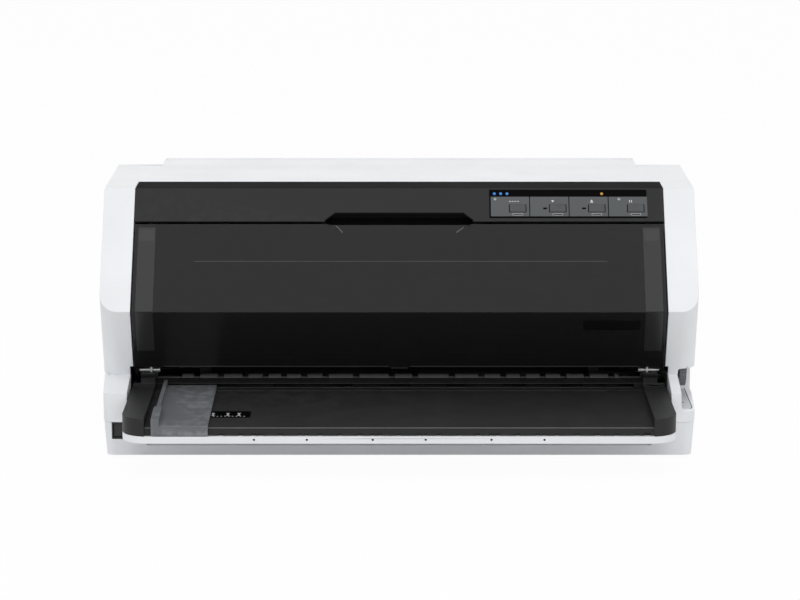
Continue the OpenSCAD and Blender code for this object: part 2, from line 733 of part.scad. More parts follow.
// Rubber rollers spread evenly along a shaft
module roller(at, r, rod_r, count, pitch, length, ends) {
    rod_x(ends[0], ends[1], at, rod_r);
    for (i = [0:count - 1]) let (x = (i - (count - 1) / 2) * pitch)
        rod_x(x - length / 2, x + length / 2, at, r);
}
module front_feed_roller() {
    color(rubber) roller(front_roller, roller_r, shaft_r, 8, 47, 30, [-204, gear_x[1] + 0.4]);
}
module rear_feed_roller() {
    color(rubber) {
        roller(rear_roller, roller_r, shaft_r, 6, 52, 30, [-209.6, gear_x[1] + 0.4]);
        rod_x(tractor_belt_x[0], tractor_belt_x[1], rear_roller, belt_pulley_r);
    }
}
module front_pinch_roller() {
    // middles of the gaps between its rubber sleeves, left to right
    gaps = [-179.5, -165, -145.5, -125.5, -109, -94, -77.5, -60, -35, -6, 13, 43, 67, 85, 101, 117,
        134, 153, 173, 181.5];
    color(rubber) {
        rod_x(-202.6, 202.6, pinch_front, 2);
        for (i = [1:len(gaps) - 1]) rod_x(gaps[i - 1] + 2.5, gaps[i] - 2.5, pinch_front, pinch_r);
    }
}
module rear_pinch_roller() {
    color(rubber) roller(pinch_rear, pinch_r, 2, 6, 52, 24, [-202.6, 202.6]);
}
module front_roller_gear() {
    color(nylon) gear(roller_teeth, 0, front_roller, gear_x[0], gear_x[1], shaft_r);
}
module rear_roller_gear() {
    color(nylon) gear(roller_teeth, 0, rear_roller, gear_x[0], gear_x[1], shaft_r);
}
module idler_gear() {
    color(nylon) gear(idler_teeth, 180 / idler_teeth, idler_at, gear_x[0], gear_x[1],
        stud_r + running);
}
module feed_motor() {
    color(black) difference() {
        rod_x(168, frame_x, pinion_at, 12);
        rod_x(183, frame_x + 1, pinion_at, motor_shaft_r + running);
    }
}
module feed_pinion() {
    color(nylon) {
        gear(pinion_teeth, 180 + pinion_dir, pinion_at, gear_x[0], gear_x[1], motor_shaft_r - 0.5);
        rod_x(184, gear_x[1], pinion_at, motor_shaft_r);
    }
}

module tractor_guide_shaft() { color(steel) rod_x(-frame_x - 3, frame_x + 3, tractor_guide, 4); }
module tractor_shaft() {
    h = drive_side / 2;
    color(steel) {
        box([-209.6, tractor_drive[0] - h, tractor_drive[1] - h],
            [frame_x + 3, tractor_drive[0] + h, tractor_drive[1] + h]);
        rod_x(tractor_belt_x[0], tractor_belt_x[1], tractor_drive, belt_pulley_r);
    }
}
module tractor_belt() {
    color(rubber) across(tractor_belt_x[0] + 0.4, tractor_belt_x[1] - 0.4) difference() {
        polygon(loop_points(rear_roller, tractor_drive, belt_pulley_r + running + belt_t));
        polygon(loop_points(rear_roller, tractor_drive, belt_pulley_r + running));
    }
}
// Right-hand tractor body centred on x = 0; its door hinges on the +x side
module tractor_body() {
    difference() {
        union() {
            box([-11, 103, 82], [11, 146, 100]);
            for (y = [[104, 109], [139, 144]]) box([10, y[0], 92], [17, y[1], 105.3]);
            translate([door_pin[0], 144, door_pin[1]]) rotate([90, 0, 0]) cylinder(h = 40, r = 1.5);
        }
        rod_x(-12, 18, tractor_guide, 4 + running);
        rod_x(-12, 12, tractor_drive, 6 + running);
        box([-4, 118.5, 70], [4, 150, 110]);
    }
}
module sprocket_wheel() {
    difference() {
        union() {
            rod_x(-3, 3, tractor_drive, 12);
            rod_x(-10.6, 10.6, tractor_drive, 6);
            for (i = [0:11]) translate([0, tractor_drive[0], tractor_drive[1]])
                rotate([15 + i * 30, 0, 0]) translate([0, 0, 11]) cylinder(h = 3.6, r = 1.4);
        }
        box([-12, tractor_drive[0] - 3.6, tractor_drive[1] - 3.6],
            [12, tractor_drive[0] + 3.6, tractor_drive[1] + 3.6]);
    }
}
module tractor_door() {
    difference() {
        union() {
            box([-10.5, 109.6, 105.6], [14, 138.4, 107.2]);
            translate([door_pin[0], 138.4, door_pin[1]]) rotate([90, 0, 0])
                cylinder(h = 28.8, r = 2.8);
            box([11.7, 109.6, 103], [14.5, 138.4, 107.2]);
        }
        translate([door_pin[0], 150, door_pin[1]]) rotate([90, 0, 0])
            cylinder(h = 50, r = 1.5 + running);
        box([-3.6, 119, 100], [3.6, 150, 110]);
    }
}
module right_tractor() { color(black) translate([tractor_x, 0, 0]) tractor_body(); }
module left_tractor() { color(black) mirror([1, 0, 0]) translate([tractor_x, 0, 0]) tractor_body(); }
module right_sprocket() { color(nylon) translate([tractor_x, 0, 0]) sprocket_wheel(); }
module left_sprocket() { color(nylon) translate([-tractor_x, 0, 0]) sprocket_wheel(); }
module right_tractor_door() { color(accent) translate([tractor_x, 0, 0]) tractor_door(); }
module left_tractor_door() {
    color(accent) mirror([1, 0, 0]) translate([tractor_x, 0, 0]) tractor_door();
}

module rear_sheet_guide() {
    skin = 2.5;
    end_s = rear_len - 8;
    top = [lip_front, lip_crest, [92, lip_crest[1]], on_rear(end_s, 4)];
    color(white) difference() {
        union() {
            across(-sheet_half, sheet_half) polygon(band(top, -skin));
            both() across(sheet_half - skin, sheet_half)
                polygon(concat(top, [on_rear(end_s, 0.3), on_rear(0.6, 0.3)]));
        }
        both() rod_x(sheet_half - skin - 1, sheet_half + 1, lip_pivot, lip_pin_r + running);
    }
}

module main_board() {
    color(board_green) {
        box([20, 84, 12], [195, 180, 13.6]);
        for (x = [26, 189], y = [90, 170]) translate([x, y, 6]) cylinder(h = 6.2, r = 3);
        box([50, 100, 13.6], [78, 128, 16]);
        for (x = [100, 125, 150]) box([x, 105, 13.6], [x + 12, 125, 15.6]);
    }
}
module interface_sockets() {
    color(black) {
        difference() {
            box([96, 170, 13.6], [149, rear_y - 0.5, 26]);
            box([100, rear_y - 7, 16], [145, rear_y + 5, 24]);
        }
        difference() {
            box([166, 172, 13.6], [177, rear_y - 0.5, 24.5]);
            box([167.5, rear_y - 8, 15], [175.5, rear_y + 5, 23]);
        }
    }
}
module power_supply() {
    color(steel) {
        box([-195, 70, 6], [-90, 160, 9]);
        box([-190, 80, 9], [-150, 120, 40]);
        for (y = [132, 148]) translate([-170, y, 9]) cylinder(h = 28, r = 7);
        for (i = [0:5]) box([-140 + i * 7, 80, 9], [-138 + i * 7, 150, 34]);
    }
}
module mains_inlet() {
    color(black) {
        difference() {
            box([-203.5, 165, 8.5], [-176.5, rear_y - 0.4, 25.5]);
            box([-200, 171, 11], [-180, rear_y + 5, 23]);
        }
        for (x = [-196, -190, -184]) box([x - 0.8, 170, 12.6], [x + 0.8, rear_y - 4, 16.6]);
    }
}

upper_case();
lower_case();
fascia();
control_panel();
indicator_lamps();
panel_board();
menu_key();
line_feed_key();
load_key();
pause_key();
printer_cover();
cover_hinge_pins();
table_tray();
table_base();
edge_guide();
paper_feed_knob();
power_switch();
switch_body();
rubber_feet();
case_screws();
left_side_frame();
right_side_frame();
cross_beam();
platen();
front_paper_guide();
rear_paper_guide();
guide_shaft();
carriage();
print_head();
carriage_motor();
motor_pulley();
idler_pulley();
belt_tensioner();
carriage_belt();
ribbon_cartridge();
ribbon_knob();
front_feed_roller();
front_roller_gear();
front_pinch_roller();
rear_feed_roller();
rear_roller_gear();
rear_pinch_roller();
idler_gear();
feed_motor();
feed_pinion();
shaft_bushes();
tractor_guide_shaft();
tractor_shaft();
tractor_belt();
left_tractor();
right_tractor();
left_sprocket();
right_sprocket();
left_tractor_door();
right_tractor_door();
rear_sheet_guide();
main_board();
interface_sockets();
power_supply();
mains_inlet();
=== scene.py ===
"""Looks of a flatbed dot matrix printer: finishes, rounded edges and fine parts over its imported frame.

Sizes are in millimetres unless a name says otherwise, and MM turns them into the frame's metres.
"""

import json
import logging
import math
from collections.abc import Iterable, Mapping, Sequence
from dataclasses import dataclass
from enum import Enum
from functools import cache
from typing import Any

import bmesh
import bpy
from mathutils import Matrix, Vector

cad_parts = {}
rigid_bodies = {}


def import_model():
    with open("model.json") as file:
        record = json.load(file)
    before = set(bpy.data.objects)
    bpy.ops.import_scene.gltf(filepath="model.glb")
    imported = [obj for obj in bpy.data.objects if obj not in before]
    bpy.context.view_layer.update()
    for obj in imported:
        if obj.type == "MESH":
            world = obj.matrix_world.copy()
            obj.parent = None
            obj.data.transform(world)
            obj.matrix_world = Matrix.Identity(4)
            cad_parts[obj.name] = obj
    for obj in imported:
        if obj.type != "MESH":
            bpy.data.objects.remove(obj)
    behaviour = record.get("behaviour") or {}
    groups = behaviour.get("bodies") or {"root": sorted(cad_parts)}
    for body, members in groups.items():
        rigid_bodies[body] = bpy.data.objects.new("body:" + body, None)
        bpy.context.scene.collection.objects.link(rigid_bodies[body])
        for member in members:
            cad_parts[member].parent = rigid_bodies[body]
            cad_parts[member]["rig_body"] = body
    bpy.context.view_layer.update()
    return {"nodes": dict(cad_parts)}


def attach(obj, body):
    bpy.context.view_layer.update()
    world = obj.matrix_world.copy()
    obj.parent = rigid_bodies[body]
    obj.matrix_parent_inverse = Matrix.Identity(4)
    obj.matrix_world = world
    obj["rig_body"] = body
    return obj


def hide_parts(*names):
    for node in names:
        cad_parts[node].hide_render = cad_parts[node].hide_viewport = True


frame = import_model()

log = logging.getLogger("printer")

MM = 0.001
WELD = 2e-6
FLAT = math.radians(0.4)
SHARP = math.radians(32)
CLOUD_LOW, CLOUD_HIGH = 0.3, 0.7

Colour = tuple[float, float, float]
Point = tuple[float, float]
Span = tuple[float, float]
Spot = tuple[float, float, float]
Box = tuple[float, float, float, float]
Outline = Sequence[Point]


def shade(red: int, green: int, blue: int) -> Colour:
    """A colour from its 0 to 255 display values, as the linear values that materials take.

    Args:
        red: Red, 0 to 255.
        green: Green, 0 to 255.
        blue: Blue, 0 to 255.

    Returns:
        Linear red, green and blue.
    """
    def linear(value: float) -> float:
        """One channel, from display to linear."""
        return value / 12.92 if value <= 0.04045 else ((value + 0.055) / 1.055) ** 2.4

    return linear(red / 255), linear(green / 255), linear(blue / 255)


def toned(colour: Colour, factor: float) -> Colour:
    """The colour made lighter or darker by a factor."""
    return colour[0] * factor, colour[1] * factor, colour[2] * factor


class Slot(Enum):
    """The record's material slots, which each part lists beside its finish."""

    CASE = "case_white"
    TRIM = "dark_trim"
    SMOKED = "smoked_cover"
    PANEL = "panel_black"
    LAMP = "lamp_blue"
    BOARD = "circuit_board"
    KEY = "key_grey"
    ACCENT = "accent_grey"
    BLACK = "black_plastic"
    BRIGHT = "bright_steel"
    SHEET = "sheet_steel"
    RUBBER = "rubber"
    NYLON = "nylon"
    MOTOR = "motor_black"
    CAST = "cast_aluminium"


class Lay(Enum):
    """The way along which a metal's fine lines run."""

    ACROSS = (0.03, 1.0, 1.0)
    UP = (1.0, 1.0, 0.03)


# ---------------------------------------------------------------------------------------------
# Node trees
# ---------------------------------------------------------------------------------------------


class Wiring:
    """Places and links the nodes of one tree."""

    def __init__(self, tree: bpy.types.NodeTree) -> None:
        """Keeps the tree that the nodes go into."""
        self.tree = tree

    def feed(self, socket: bpy.types.NodeSocket, value: Any) -> None:
        """Links value to the socket if it is another socket, or else sets it as the socket's constant.

        Args:
            socket: The input.
            value: An output socket, or a constant; a colour may have three numbers.
        """
        if isinstance(value, bpy.types.NodeSocket):
            self.tree.links.new(value, socket)
        elif socket.type == "RGBA" and len(value) == 3:
            socket.default_value = (*value, 1.0)
        else:
            socket.default_value = value

    def add(self, kind: str, inputs: Mapping[Any, Any] | None = None, **settings: Any) -> bpy.types.Node:
        """Adds a node.

        Args:
            kind: The node's type name.
            inputs: What each input, by name or number, is fed with.
            settings: The node's own properties.

        Returns:
            The node.
        """
        node = self.tree.nodes.new(kind)
        for key, value in settings.items():
            setattr(node, key, value)
        for key, value in (inputs or {}).items():
            self.feed(node.inputs[key], value)
        return node

    def maths(self, operation: str, a: Any, b: Any) -> bpy.types.NodeSocket:
        """The result of one sum on two values."""
        return self.add("ShaderNodeMath", {0: a, 1: b}, operation=operation).outputs[0]

    def ranged(self, value: Any, low: Any, high: Any, to_low: float = 0.0,
               to_high: float = 1.0) -> bpy.types.NodeSocket:
        """A value moved from one range to another and kept inside it."""
        inputs = {"Value": value, "From Min": low, "From Max": high, "To Min": to_low, "To Max": to_high}
        return self.add("ShaderNodeMapRange", inputs).outputs["Result"]

    def mixed(self, factor: Any, a: Any, b: Any) -> bpy.types.NodeSocket:
        """A colour between a and b."""
        node = self.add("ShaderNodeMix", {0: factor, 6: a, 7: b}, data_type="RGBA")
        return node.outputs[2]

    def noise(self, vector: Any, scale: Any, detail: float = 2.0) -> bpy.types.NodeSocket:
        """A cloudy value between 0 and 1 with features 1 / scale metres apart."""
        inputs = {"Vector": vector, "Scale": scale, "Detail": detail}
        return self.add("ShaderNodeTexNoise", inputs).outputs[0]

    def placed(self, group: bpy.types.NodeTree, inputs: Mapping[str, Any]) -> bpy.types.Node:
        """A shader group's node with its inputs fed."""
        return self.add("ShaderNodeGroup", inputs, node_tree=group)

    def clouded(self, value: Any, to_low: float = 0.0, to_high: float = 1.0) -> bpy.types.NodeSocket:
        """A cloudy value, with the part of its range that noise fills spread from to_low to to_high."""
        return self.ranged(value, CLOUD_LOW, CLOUD_HIGH, to_low, to_high)


class Group(Wiring):
    """A node group with named inputs and outputs, which is built once."""

    def __init__(self, name: str, kind: str, inputs: Mapping[str, tuple[str, Any]],
                 outputs: Mapping[str, str]) -> None:
        """Makes the group with its sockets.

        Args:
            name: The group's name.
            kind: ShaderNodeTree or GeometryNodeTree.
            inputs: For each input, the type of its socket and its value, or None for no value.
            outputs: For each output, the type of its socket.
        """
        super().__init__(bpy.data.node_groups.new(name, kind))
        for label, (socket_type, value) in inputs.items():
            item = self.tree.interface.new_socket(label, in_out="INPUT", socket_type=socket_type)
            if value is not None:
                item.default_value = value
        for label, socket_type in outputs.items():
            self.tree.interface.new_socket(label, in_out="OUTPUT", socket_type=socket_type)
        self.given = self.tree.nodes.new("NodeGroupInput").outputs
        self.result = self.tree.nodes.new("NodeGroupOutput").inputs


FLOAT, VECTOR, INTEGER = "NodeSocketFloat", "NodeSocketVector", "NodeSocketInt"
GEOMETRY, MATERIAL = "NodeSocketGeometry", "NodeSocketMaterial"


@cache
def moulded_grain() -> bpy.types.NodeTree:
    """The fine spark-eroded grain of moulded plastic, with a slow mottle. Outputs Height and Mottle."""
    group = Group("moulded_grain", "ShaderNodeTree", {"Vector": (VECTOR, None), "Scale": (FLOAT, 1500.0)},
                  {"Height": FLOAT, "Mottle": FLOAT})
    where, scale = group.given["Vector"], group.given["Scale"]
    pits = group.add("ShaderNodeTexVoronoi", {"Vector": where, "Scale": scale}).outputs["Distance"]
    cloudy = group.noise(where, group.maths("MULTIPLY", scale, 0.6))
    group.feed(group.result["Height"], group.maths("ADD", group.maths("MULTIPLY", pits, 0.5), cloudy))
    group.feed(group.result["Mottle"], group.noise(where, group.maths("MULTIPLY", scale, 0.012), 4.0))
    return group.tree


@cache
def edge_wear_and_highlight() -> bpy.types.NodeTree:
    """Outer edges, broken up by a cloudy pattern: rubbed, and on the dark mouldings lightened as a painted
    highlight. Output Mask is 1 on those edges.
    """
    group = Group("edge_wear_and_highlight", "ShaderNodeTree",
                  {"Vector": (VECTOR, None), "Start": (FLOAT, 0.53), "Full": (FLOAT, 0.62)}, {"Mask": FLOAT})
    convex = group.add("ShaderNodeNewGeometry").outputs["Pointiness"]
    edges = group.ranged(convex, group.given["Start"], group.given["Full"])
    patches = group.ranged(group.noise(group.given["Vector"], 140.0, 4.0), 0.42, 0.62)
    group.feed(group.result["Mask"], group.maths("MULTIPLY", edges, patches))
    return group.tree


@cache
def settled_dust() -> bpy.types.NodeTree:
    """Thin dust on faces that look up. Output Mask is 1 under the most dust."""
    group = Group("settled_dust", "ShaderNodeTree", {"Vector": (VECTOR, None)}, {"Mask": FLOAT})
    normal = group.add("ShaderNodeNewGeometry").outputs["Normal"]
    upward = group.ranged(group.add("ShaderNodeSeparateXYZ", {0: normal}).outputs["Z"], 0.6, 1.0)
    cloudy = group.ranged(group.noise(group.given["Vector"], 45.0, 5.0), 0.35, 0.75)
    group.feed(group.result["Mask"], group.maths("MULTIPLY", upward, cloudy))
    return group.tree


@cache
def fine_lines() -> bpy.types.NodeTree:
    """Rolled or ground lines on metal. Outputs Height and Mottle."""
    group = Group("fine_lines", "ShaderNodeTree",
                  {"Vector": (VECTOR, None), "Scale": (FLOAT, 1200.0), "Lay": (VECTOR, Lay.ACROSS.value)},
                  {"Height": FLOAT, "Mottle": FLOAT})
    drawn = group.add("ShaderNodeVectorMath", {0: group.given["Vector"], 1: group.given["Lay"]},
                      operation="MULTIPLY").outputs[0]
    group.feed(group.result["Height"], group.noise(drawn, group.given["Scale"], 3.0))
    group.feed(group.result["Mottle"], group.noise(group.given["Vector"], 25.0, 3.0))
    return group.tree


# ---------------------------------------------------------------------------------------------
# Finishes
# ---------------------------------------------------------------------------------------------

DUST = shade(196, 194, 188)


def bare_wiring(owner: bpy.types.Material | bpy.types.World) -> Wiring:
    """The wiring of a material or a world, emptied of its nodes."""
    owner.use_nodes = True
    owner.node_tree.nodes.clear()
    return Wiring(owner.node_tree)


@dataclass(frozen=True)
class Finish:
    """A finish, which is made a material the first time that it is asked for."""

    name: str
    colour: Colour

    def material(self) -> bpy.types.Material:
        """The finish as a material.

        Returns:
            The material.
        """
        if self.name in bpy.data.materials:
            return bpy.data.materials[self.name]
        made = bpy.data.materials.new(self.name)
        wires = bare_wiring(made)
        shader = wires.add("ShaderNodeBsdfPrincipled")
        wires.add("ShaderNodeOutputMaterial", {"Surface": shader.outputs[0]})
        self.dress(wires, shader, wires.add("ShaderNodeTexCoord").outputs["Object"])
        return made

    def dress(self, wires: Wiring, shader: bpy.types.Node, where: bpy.types.NodeSocket) -> None:
        """Wires the finish to a material's shader.

        Args:
            wires: The material's wiring.
            shader: Its Principled shader.
            where: The object coordinates.
        """
        raise NotImplementedError


def bumped(wires: Wiring, shader: bpy.types.Node, height: Any, strength: float, depth: float) -> None:
    """Feeds the shader's normal from a height.

    Args:
        wires: The material's wiring.
        shader: Its Principled shader.
        height: The height, between 0 and 1.
        strength: How much of the relief shows.
        depth: Depth of the relief, in millimetres.
    """
    inputs = {"Height": height, "Strength": strength, "Distance": depth * MM}
    wires.feed(shader.inputs["Normal"], wires.add("ShaderNodeBump", inputs).outputs[0])


@dataclass(frozen=True)
class Plastic(Finish):
    """Moulded plastic or rubber with a fine grain, a slight mottle, rubbed edges that on the dark mouldings
    are also a painted highlight, and a little dust.
    """

    roughness: float = 0.42
    grain: float = 1500.0
    grain_depth: float = 0.1
    relief: float = 0.12
    mottle: float = 0.05
    wear_and_highlight: float = 0.3
    worn_and_highlight: Colour = (0.5, 0.5, 0.5)
    dust: float = 0.05
    ior: float = 1.5
    alpha: float = 1.0
    glow: Colour | None = None

    def dress(self, wires: Wiring, shader: bpy.types.Node, where: bpy.types.NodeSocket) -> None:
        """Wires the plastic to a material's shader, from its object coordinates."""
        grain = wires.placed(moulded_grain(), {"Vector": where, "Scale": self.grain}).outputs
        worn_and_highlight = wires.placed(edge_wear_and_highlight(), {"Vector": where}).outputs["Mask"]
        dusty = wires.placed(settled_dust(), {"Vector": where}).outputs["Mask"]
        dust = wires.maths("MULTIPLY", dusty, self.dust)
        base = wires.mixed(wires.clouded(grain["Mottle"]), self.colour, toned(self.colour, 1 - self.mottle))
        # Edge colour: rubbing, and on the dark mouldings a painted highlight.
        base = wires.mixed(wires.maths("MULTIPLY", worn_and_highlight, self.wear_and_highlight), base, self.worn_and_highlight)
        wires.feed(shader.inputs["Base Color"], wires.mixed(dust, base, DUST))
        dull = wires.clouded(grain["Mottle"], self.roughness * 0.93, self.roughness * 1.07)
        wires.feed(shader.inputs["Roughness"], wires.maths("ADD", dull, dust))
        bumped(wires, shader, grain["Height"], self.relief, self.grain_depth)
        shader.inputs["IOR"].default_value = self.ior
        shader.inputs["Alpha"].default_value = self.alpha
        if self.glow:
            shader.inputs["Emission Color"].default_value = (*self.glow, 1.0)
            shader.inputs["Emission Strength"].default_value = 1.0


@dataclass(frozen=True)
class Metal(Finish):
    """Plated or bare metal with fine lines and a cloudy sheen."""

    roughness: float = 0.3
    lines: float = 1200.0
    line_depth: float = 0.05
    lay: Lay = Lay.ACROSS
    relief: float = 0.15

    def dress(self, wires: Wiring, shader: bpy.types.Node, where: bpy.types.NodeSocket) -> None:
        """Wires the metal to a material's shader, from its object coordinates."""
        inputs = {"Vector": where, "Scale": self.lines, "Lay": self.lay.value}
        drawn = wires.placed(fine_lines(), inputs).outputs
        worn_and_highlight = wires.placed(edge_wear_and_highlight(), {"Vector": where}).outputs["Mask"]
        base = wires.mixed(wires.clouded(drawn["Mottle"]), self.colour, toned(self.colour, 0.86))
        wires.feed(shader.inputs["Base Color"], wires.mixed(worn_and_highlight, base, toned(self.colour, 1.12)))
        dull = wires.clouded(drawn["Mottle"], self.roughness * 0.8, self.roughness * 1.25)
        wires.feed(shader.inputs["Roughness"], dull)
        bumped(wires, shader, drawn["Height"], self.relief, self.line_depth)
        shader.inputs["Metallic"].default_value = 1.0


@dataclass(frozen=True)
class Laminate(Finish):
    """Circuit board: solder mask over copper tracks that show as faint raised lines."""

    track: Colour
    pitch: float = 260.0
    bands: float = 28.0
    grain: float = 900.0
    track_depth: float = 0.05

    def dress(self, wires: Wiring, shader: bpy.types.Node, where: bpy.types.NodeSocket) -> None:
        """Wires the board to a material's shader, from its object coordinates."""
        cells = wires.add("ShaderNodeTexVoronoi", {"Vector": where, "Scale": self.pitch},
                          distance="MANHATTAN", feature="F1").outputs["Distance"]
        bands = wires.maths("SINE", wires.maths("MULTIPLY", cells, self.bands), 0.0)
        tracks = wires.ranged(bands, 0.2, 0.6)
        grain = wires.placed(moulded_grain(), {"Vector": where, "Scale": self.grain}).outputs
        base = wires.mixed(tracks, self.colour, self.track)
        cloud = wires.clouded(grain["Mottle"], 0.0, 0.3)
        wires.feed(shader.inputs["Base Color"], wires.mixed(cloud, base, toned(self.colour, 0.7)))
        wires.feed(shader.inputs["Roughness"], wires.ranged(tracks, 0.0, 1.0, 0.42, 0.3))
        bumped(wires, shader, tracks, 0.3, self.track_depth)


WHITE = Plastic("case_white_moulding", shade(237, 239, 242), roughness=0.4, worn_and_highlight=shade(215, 215, 213))
TRIM = Plastic("dark_trim_moulding", shade(35, 35, 36), roughness=0.4, worn_and_highlight=shade(84, 84, 85), mottle=0.05,
               dust=0.01, ior=1.35)
# The light edge colour of the table is partly a painted highlight.
TABLE = Plastic("table_moulding", shade(34, 34, 35), roughness=0.5, wear_and_highlight=0.15, worn_and_highlight=shade(96, 97, 99),
                mottle=0.05, dust=0.01, ior=1.35)
SMOKED = Plastic("smoked_moulding", shade(25, 25, 26), roughness=0.2, relief=0.02, mottle=0.03, wear_and_highlight=0.1,
                 worn_and_highlight=shade(90, 90, 92), dust=0.0, ior=1.4, alpha=0.9)
# The next two finishes are painted see-through: lighter strips on the cover where the side frames show
# through the smoked plastic.
SEE_THROUGH_BAND = Plastic("smoked_painted_see_through", shade(40, 40, 41), roughness=0.2, relief=0.02, wear_and_highlight=0.0, dust=0.0)
SEE_THROUGH_SQUARE = Plastic("smoked_painted_see_through_light", shade(50, 50, 51), roughness=0.2, relief=0.02, wear_and_highlight=0.0, dust=0.0)
# Painted shade: the fascia's upward faces take this darker, barely reflecting copy of the trim.
TOP_SHADE_TRIM = Plastic("fascia_top_painted_shade", shade(32, 32, 33), roughness=0.7, mottle=0.05, wear_and_highlight=0.0, dust=0.0, ior=1.06)
# Painted shade: the floor of the knob's recess is laid darker than the case.
RECESS_SHADE = Plastic("recess_floor_painted_shade", shade(196, 198, 201), roughness=0.5, wear_and_highlight=0.0, dust=0.0)
# The next two finishes are painted highlights: lighter strips laid on edges and lines where light catches.
SHEEN = Plastic("painted_edge_highlight", shade(82, 82, 84), roughness=0.3, relief=0.05, wear_and_highlight=0.0, dust=0.0)
GLINT = Plastic("lit_edge", shade(138, 139, 141), roughness=0.35, relief=0.05, wear_and_highlight=0.0, dust=0.0)
SHADOW = Plastic("groove_shadow", shade(58, 60, 62), roughness=0.6, relief=0.05, wear_and_highlight=0.0, dust=0.0)
PANEL = Plastic("panel_gloss", shade(4, 4, 5), roughness=0.3, relief=0.03, wear_and_highlight=0.0, dust=0.0, ior=1.12)
CELL = Plastic("panel_cell_ink", shade(76, 79, 81), roughness=0.45, relief=0.05, wear_and_highlight=0.0, dust=0.0)
INK = Plastic("white_ink", shade(215, 218, 220), roughness=0.5, relief=0.05, wear_and_highlight=0.0, dust=0.0)
KEY = Plastic("key_moulding", shade(66, 68, 71), roughness=0.35, worn_and_highlight=shade(120, 122, 124))
# The light edge colour of the accent grey is partly a painted highlight.
ACCENT = Plastic("accent_grey_moulding", shade(98, 100, 104), roughness=0.4, mottle=0.04, wear_and_highlight=0.4,
                worn_and_highlight=shade(150, 152, 155), dust=0.01)
BLACK = Plastic("black_moulding", shade(20, 20, 21), roughness=0.4, worn_and_highlight=shade(80, 80, 82))
# Near-black painted shade, laid in the grip, behind the gap above the cover, in the cover's slot and in the
# holes of the table's base.
NEAR_BLACK_SHADE = Plastic("painted_shade_black", shade(9, 9, 9), roughness=0.6, wear_and_highlight=0.0, dust=0.0, ior=1.15)
RUBBER = Plastic("roller_rubber", shade(40, 40, 41), roughness=0.7, grain=2200.0, relief=0.3,
                 worn_and_highlight=shade(80, 80, 80))
PINCH = Plastic("pinch_rubber", shade(100, 100, 101), roughness=0.6, grain=2200.0, relief=0.3, wear_and_highlight=0.1,
                dust=0.01)
NYLON = Plastic("nylon_moulding", shade(226, 222, 206), roughness=0.45, worn_and_highlight=shade(240, 238, 228))
MOTOR = Plastic("motor_paint", shade(30, 30, 32), roughness=0.3, worn_and_highlight=shade(130, 130, 132))
RIBBON = Plastic("inked_ribbon", shade(16, 15, 22), roughness=0.8, grain=3500.0, relief=0.5, wear_and_highlight=0.0)
BLUE_LAMP = Plastic("blue_lamp", shade(50, 110, 170), roughness=0.2, wear_and_highlight=0.0, dust=0.0,
                    glow=shade(24, 74, 130))
AMBER_LAMP = Plastic("amber_lamp", shade(180, 128, 44), roughness=0.2, wear_and_highlight=0.0, dust=0.0,
                     glow=shade(96, 62, 16))
CLEAR_LAMP = Plastic("unlit_lamp", shade(150, 160, 165), roughness=0.2, wear_and_highlight=0.0, dust=0.0)
SHEET = Metal("plated_sheet", (0.62, 0.63, 0.64), roughness=0.36)
BRIGHT = Metal("bright_bar", (0.74, 0.75, 0.76), roughness=0.18, lines=2500.0, lay=Lay.UP)
PIN = Metal("hinge_pin_steel", (0.82, 0.82, 0.83), roughness=0.5, lines=2500.0, lay=Lay.UP)
HEAD = Metal("print_head_metal", (0.16, 0.16, 0.17), roughness=0.5, lines=500.0, relief=0.3)
BOARD = Laminate("green_board", shade(22, 74, 48), shade(40, 104, 68))


# ---------------------------------------------------------------------------------------------
# Meshes
# ---------------------------------------------------------------------------------------------


@dataclass(frozen=True)
class Face:
    """A face of the case with axes of its own: x across, y up the face and z out of it."""

    origin: Point
    upper: Point

    def matrix(self) -> Matrix:
        """Turns the face's own millimetres into the frame's millimetres.

        Returns:
            The matrix.
        """
        angle = math.atan2(self.upper[1] - self.origin[1], self.upper[0] - self.origin[0])
        return Matrix.Translation((0, *self.origin)) @ Matrix.Rotation(angle, 4, "X")


FOLD, BEND, WAIST = (-34.0, 205.0), (-101.0, 116.0), (-79.5, 59.0)
SLOPE = Matrix.Translation((0, FOLD[0] - BEND[0], FOLD[1] - BEND[1])) @ Face(BEND, FOLD).matrix()
RECEDING = Matrix.Translation((0, BEND[0] - WAIST[0], BEND[1] - WAIST[1])) @ Face(WAIST, BEND).matrix()
LEVEL = Matrix.Identity(4)


def rounded(x0: float, y0: float, x1: float, y1: float, radius: float, steps: int = 4) -> list[Point]:
    """A rectangle with round corners.

    Args:
        x0: Lowest x.
        y0: Lowest y.
        x1: Highest x.
        y1: Highest y.
        radius: Radius of the corners.
        steps: Straight pieces in each corner.

    Returns:
        The outline, anticlockwise.
    """
    corners = [(x1 - radius, y0 + radius, -90), (x1 - radius, y1 - radius, 0),
               (x0 + radius, y1 - radius, 90), (x0 + radius, y0 + radius, 180)]
    turns = [(x, y, math.radians(start + 90 * i / steps)) for x, y, start in corners
             for i in range(steps + 1)]
    return [(x + radius * math.cos(t), y + radius * math.sin(t)) for x, y, t in turns]


def disc(x: float, y: float, radius: float, sides: int = 24) -> list[Point]:
    """A circle as an outline, anticlockwise."""
    turns = [math.tau * i / sides for i in range(sides)]
    return [(x + radius * math.cos(t), y + radius * math.sin(t)) for t in turns]


def moved(box: Box, dx: float, dy: float = 0.0) -> Box:
    """A flat box x0, y0, x1, y1, moved by dx and dy."""
    return box[0] + dx, box[1] + dy, box[2] + dx, box[3] + dy


def linked(name: str, data: Any) -> bpy.types.Object:
    """A new object of the scene, at the origin, with the data given."""
    made = bpy.data.objects.new(name, data)
    bpy.context.scene.collection.objects.link(made)
    return made


def made_plain(name: str, mesh: bmesh.types.BMesh) -> bpy.types.Object:
    """A new object with the mesh, which is freed."""
    data = bpy.data.meshes.new(name)
    mesh.to_mesh(data)
    mesh.free()
    return linked(name, data)


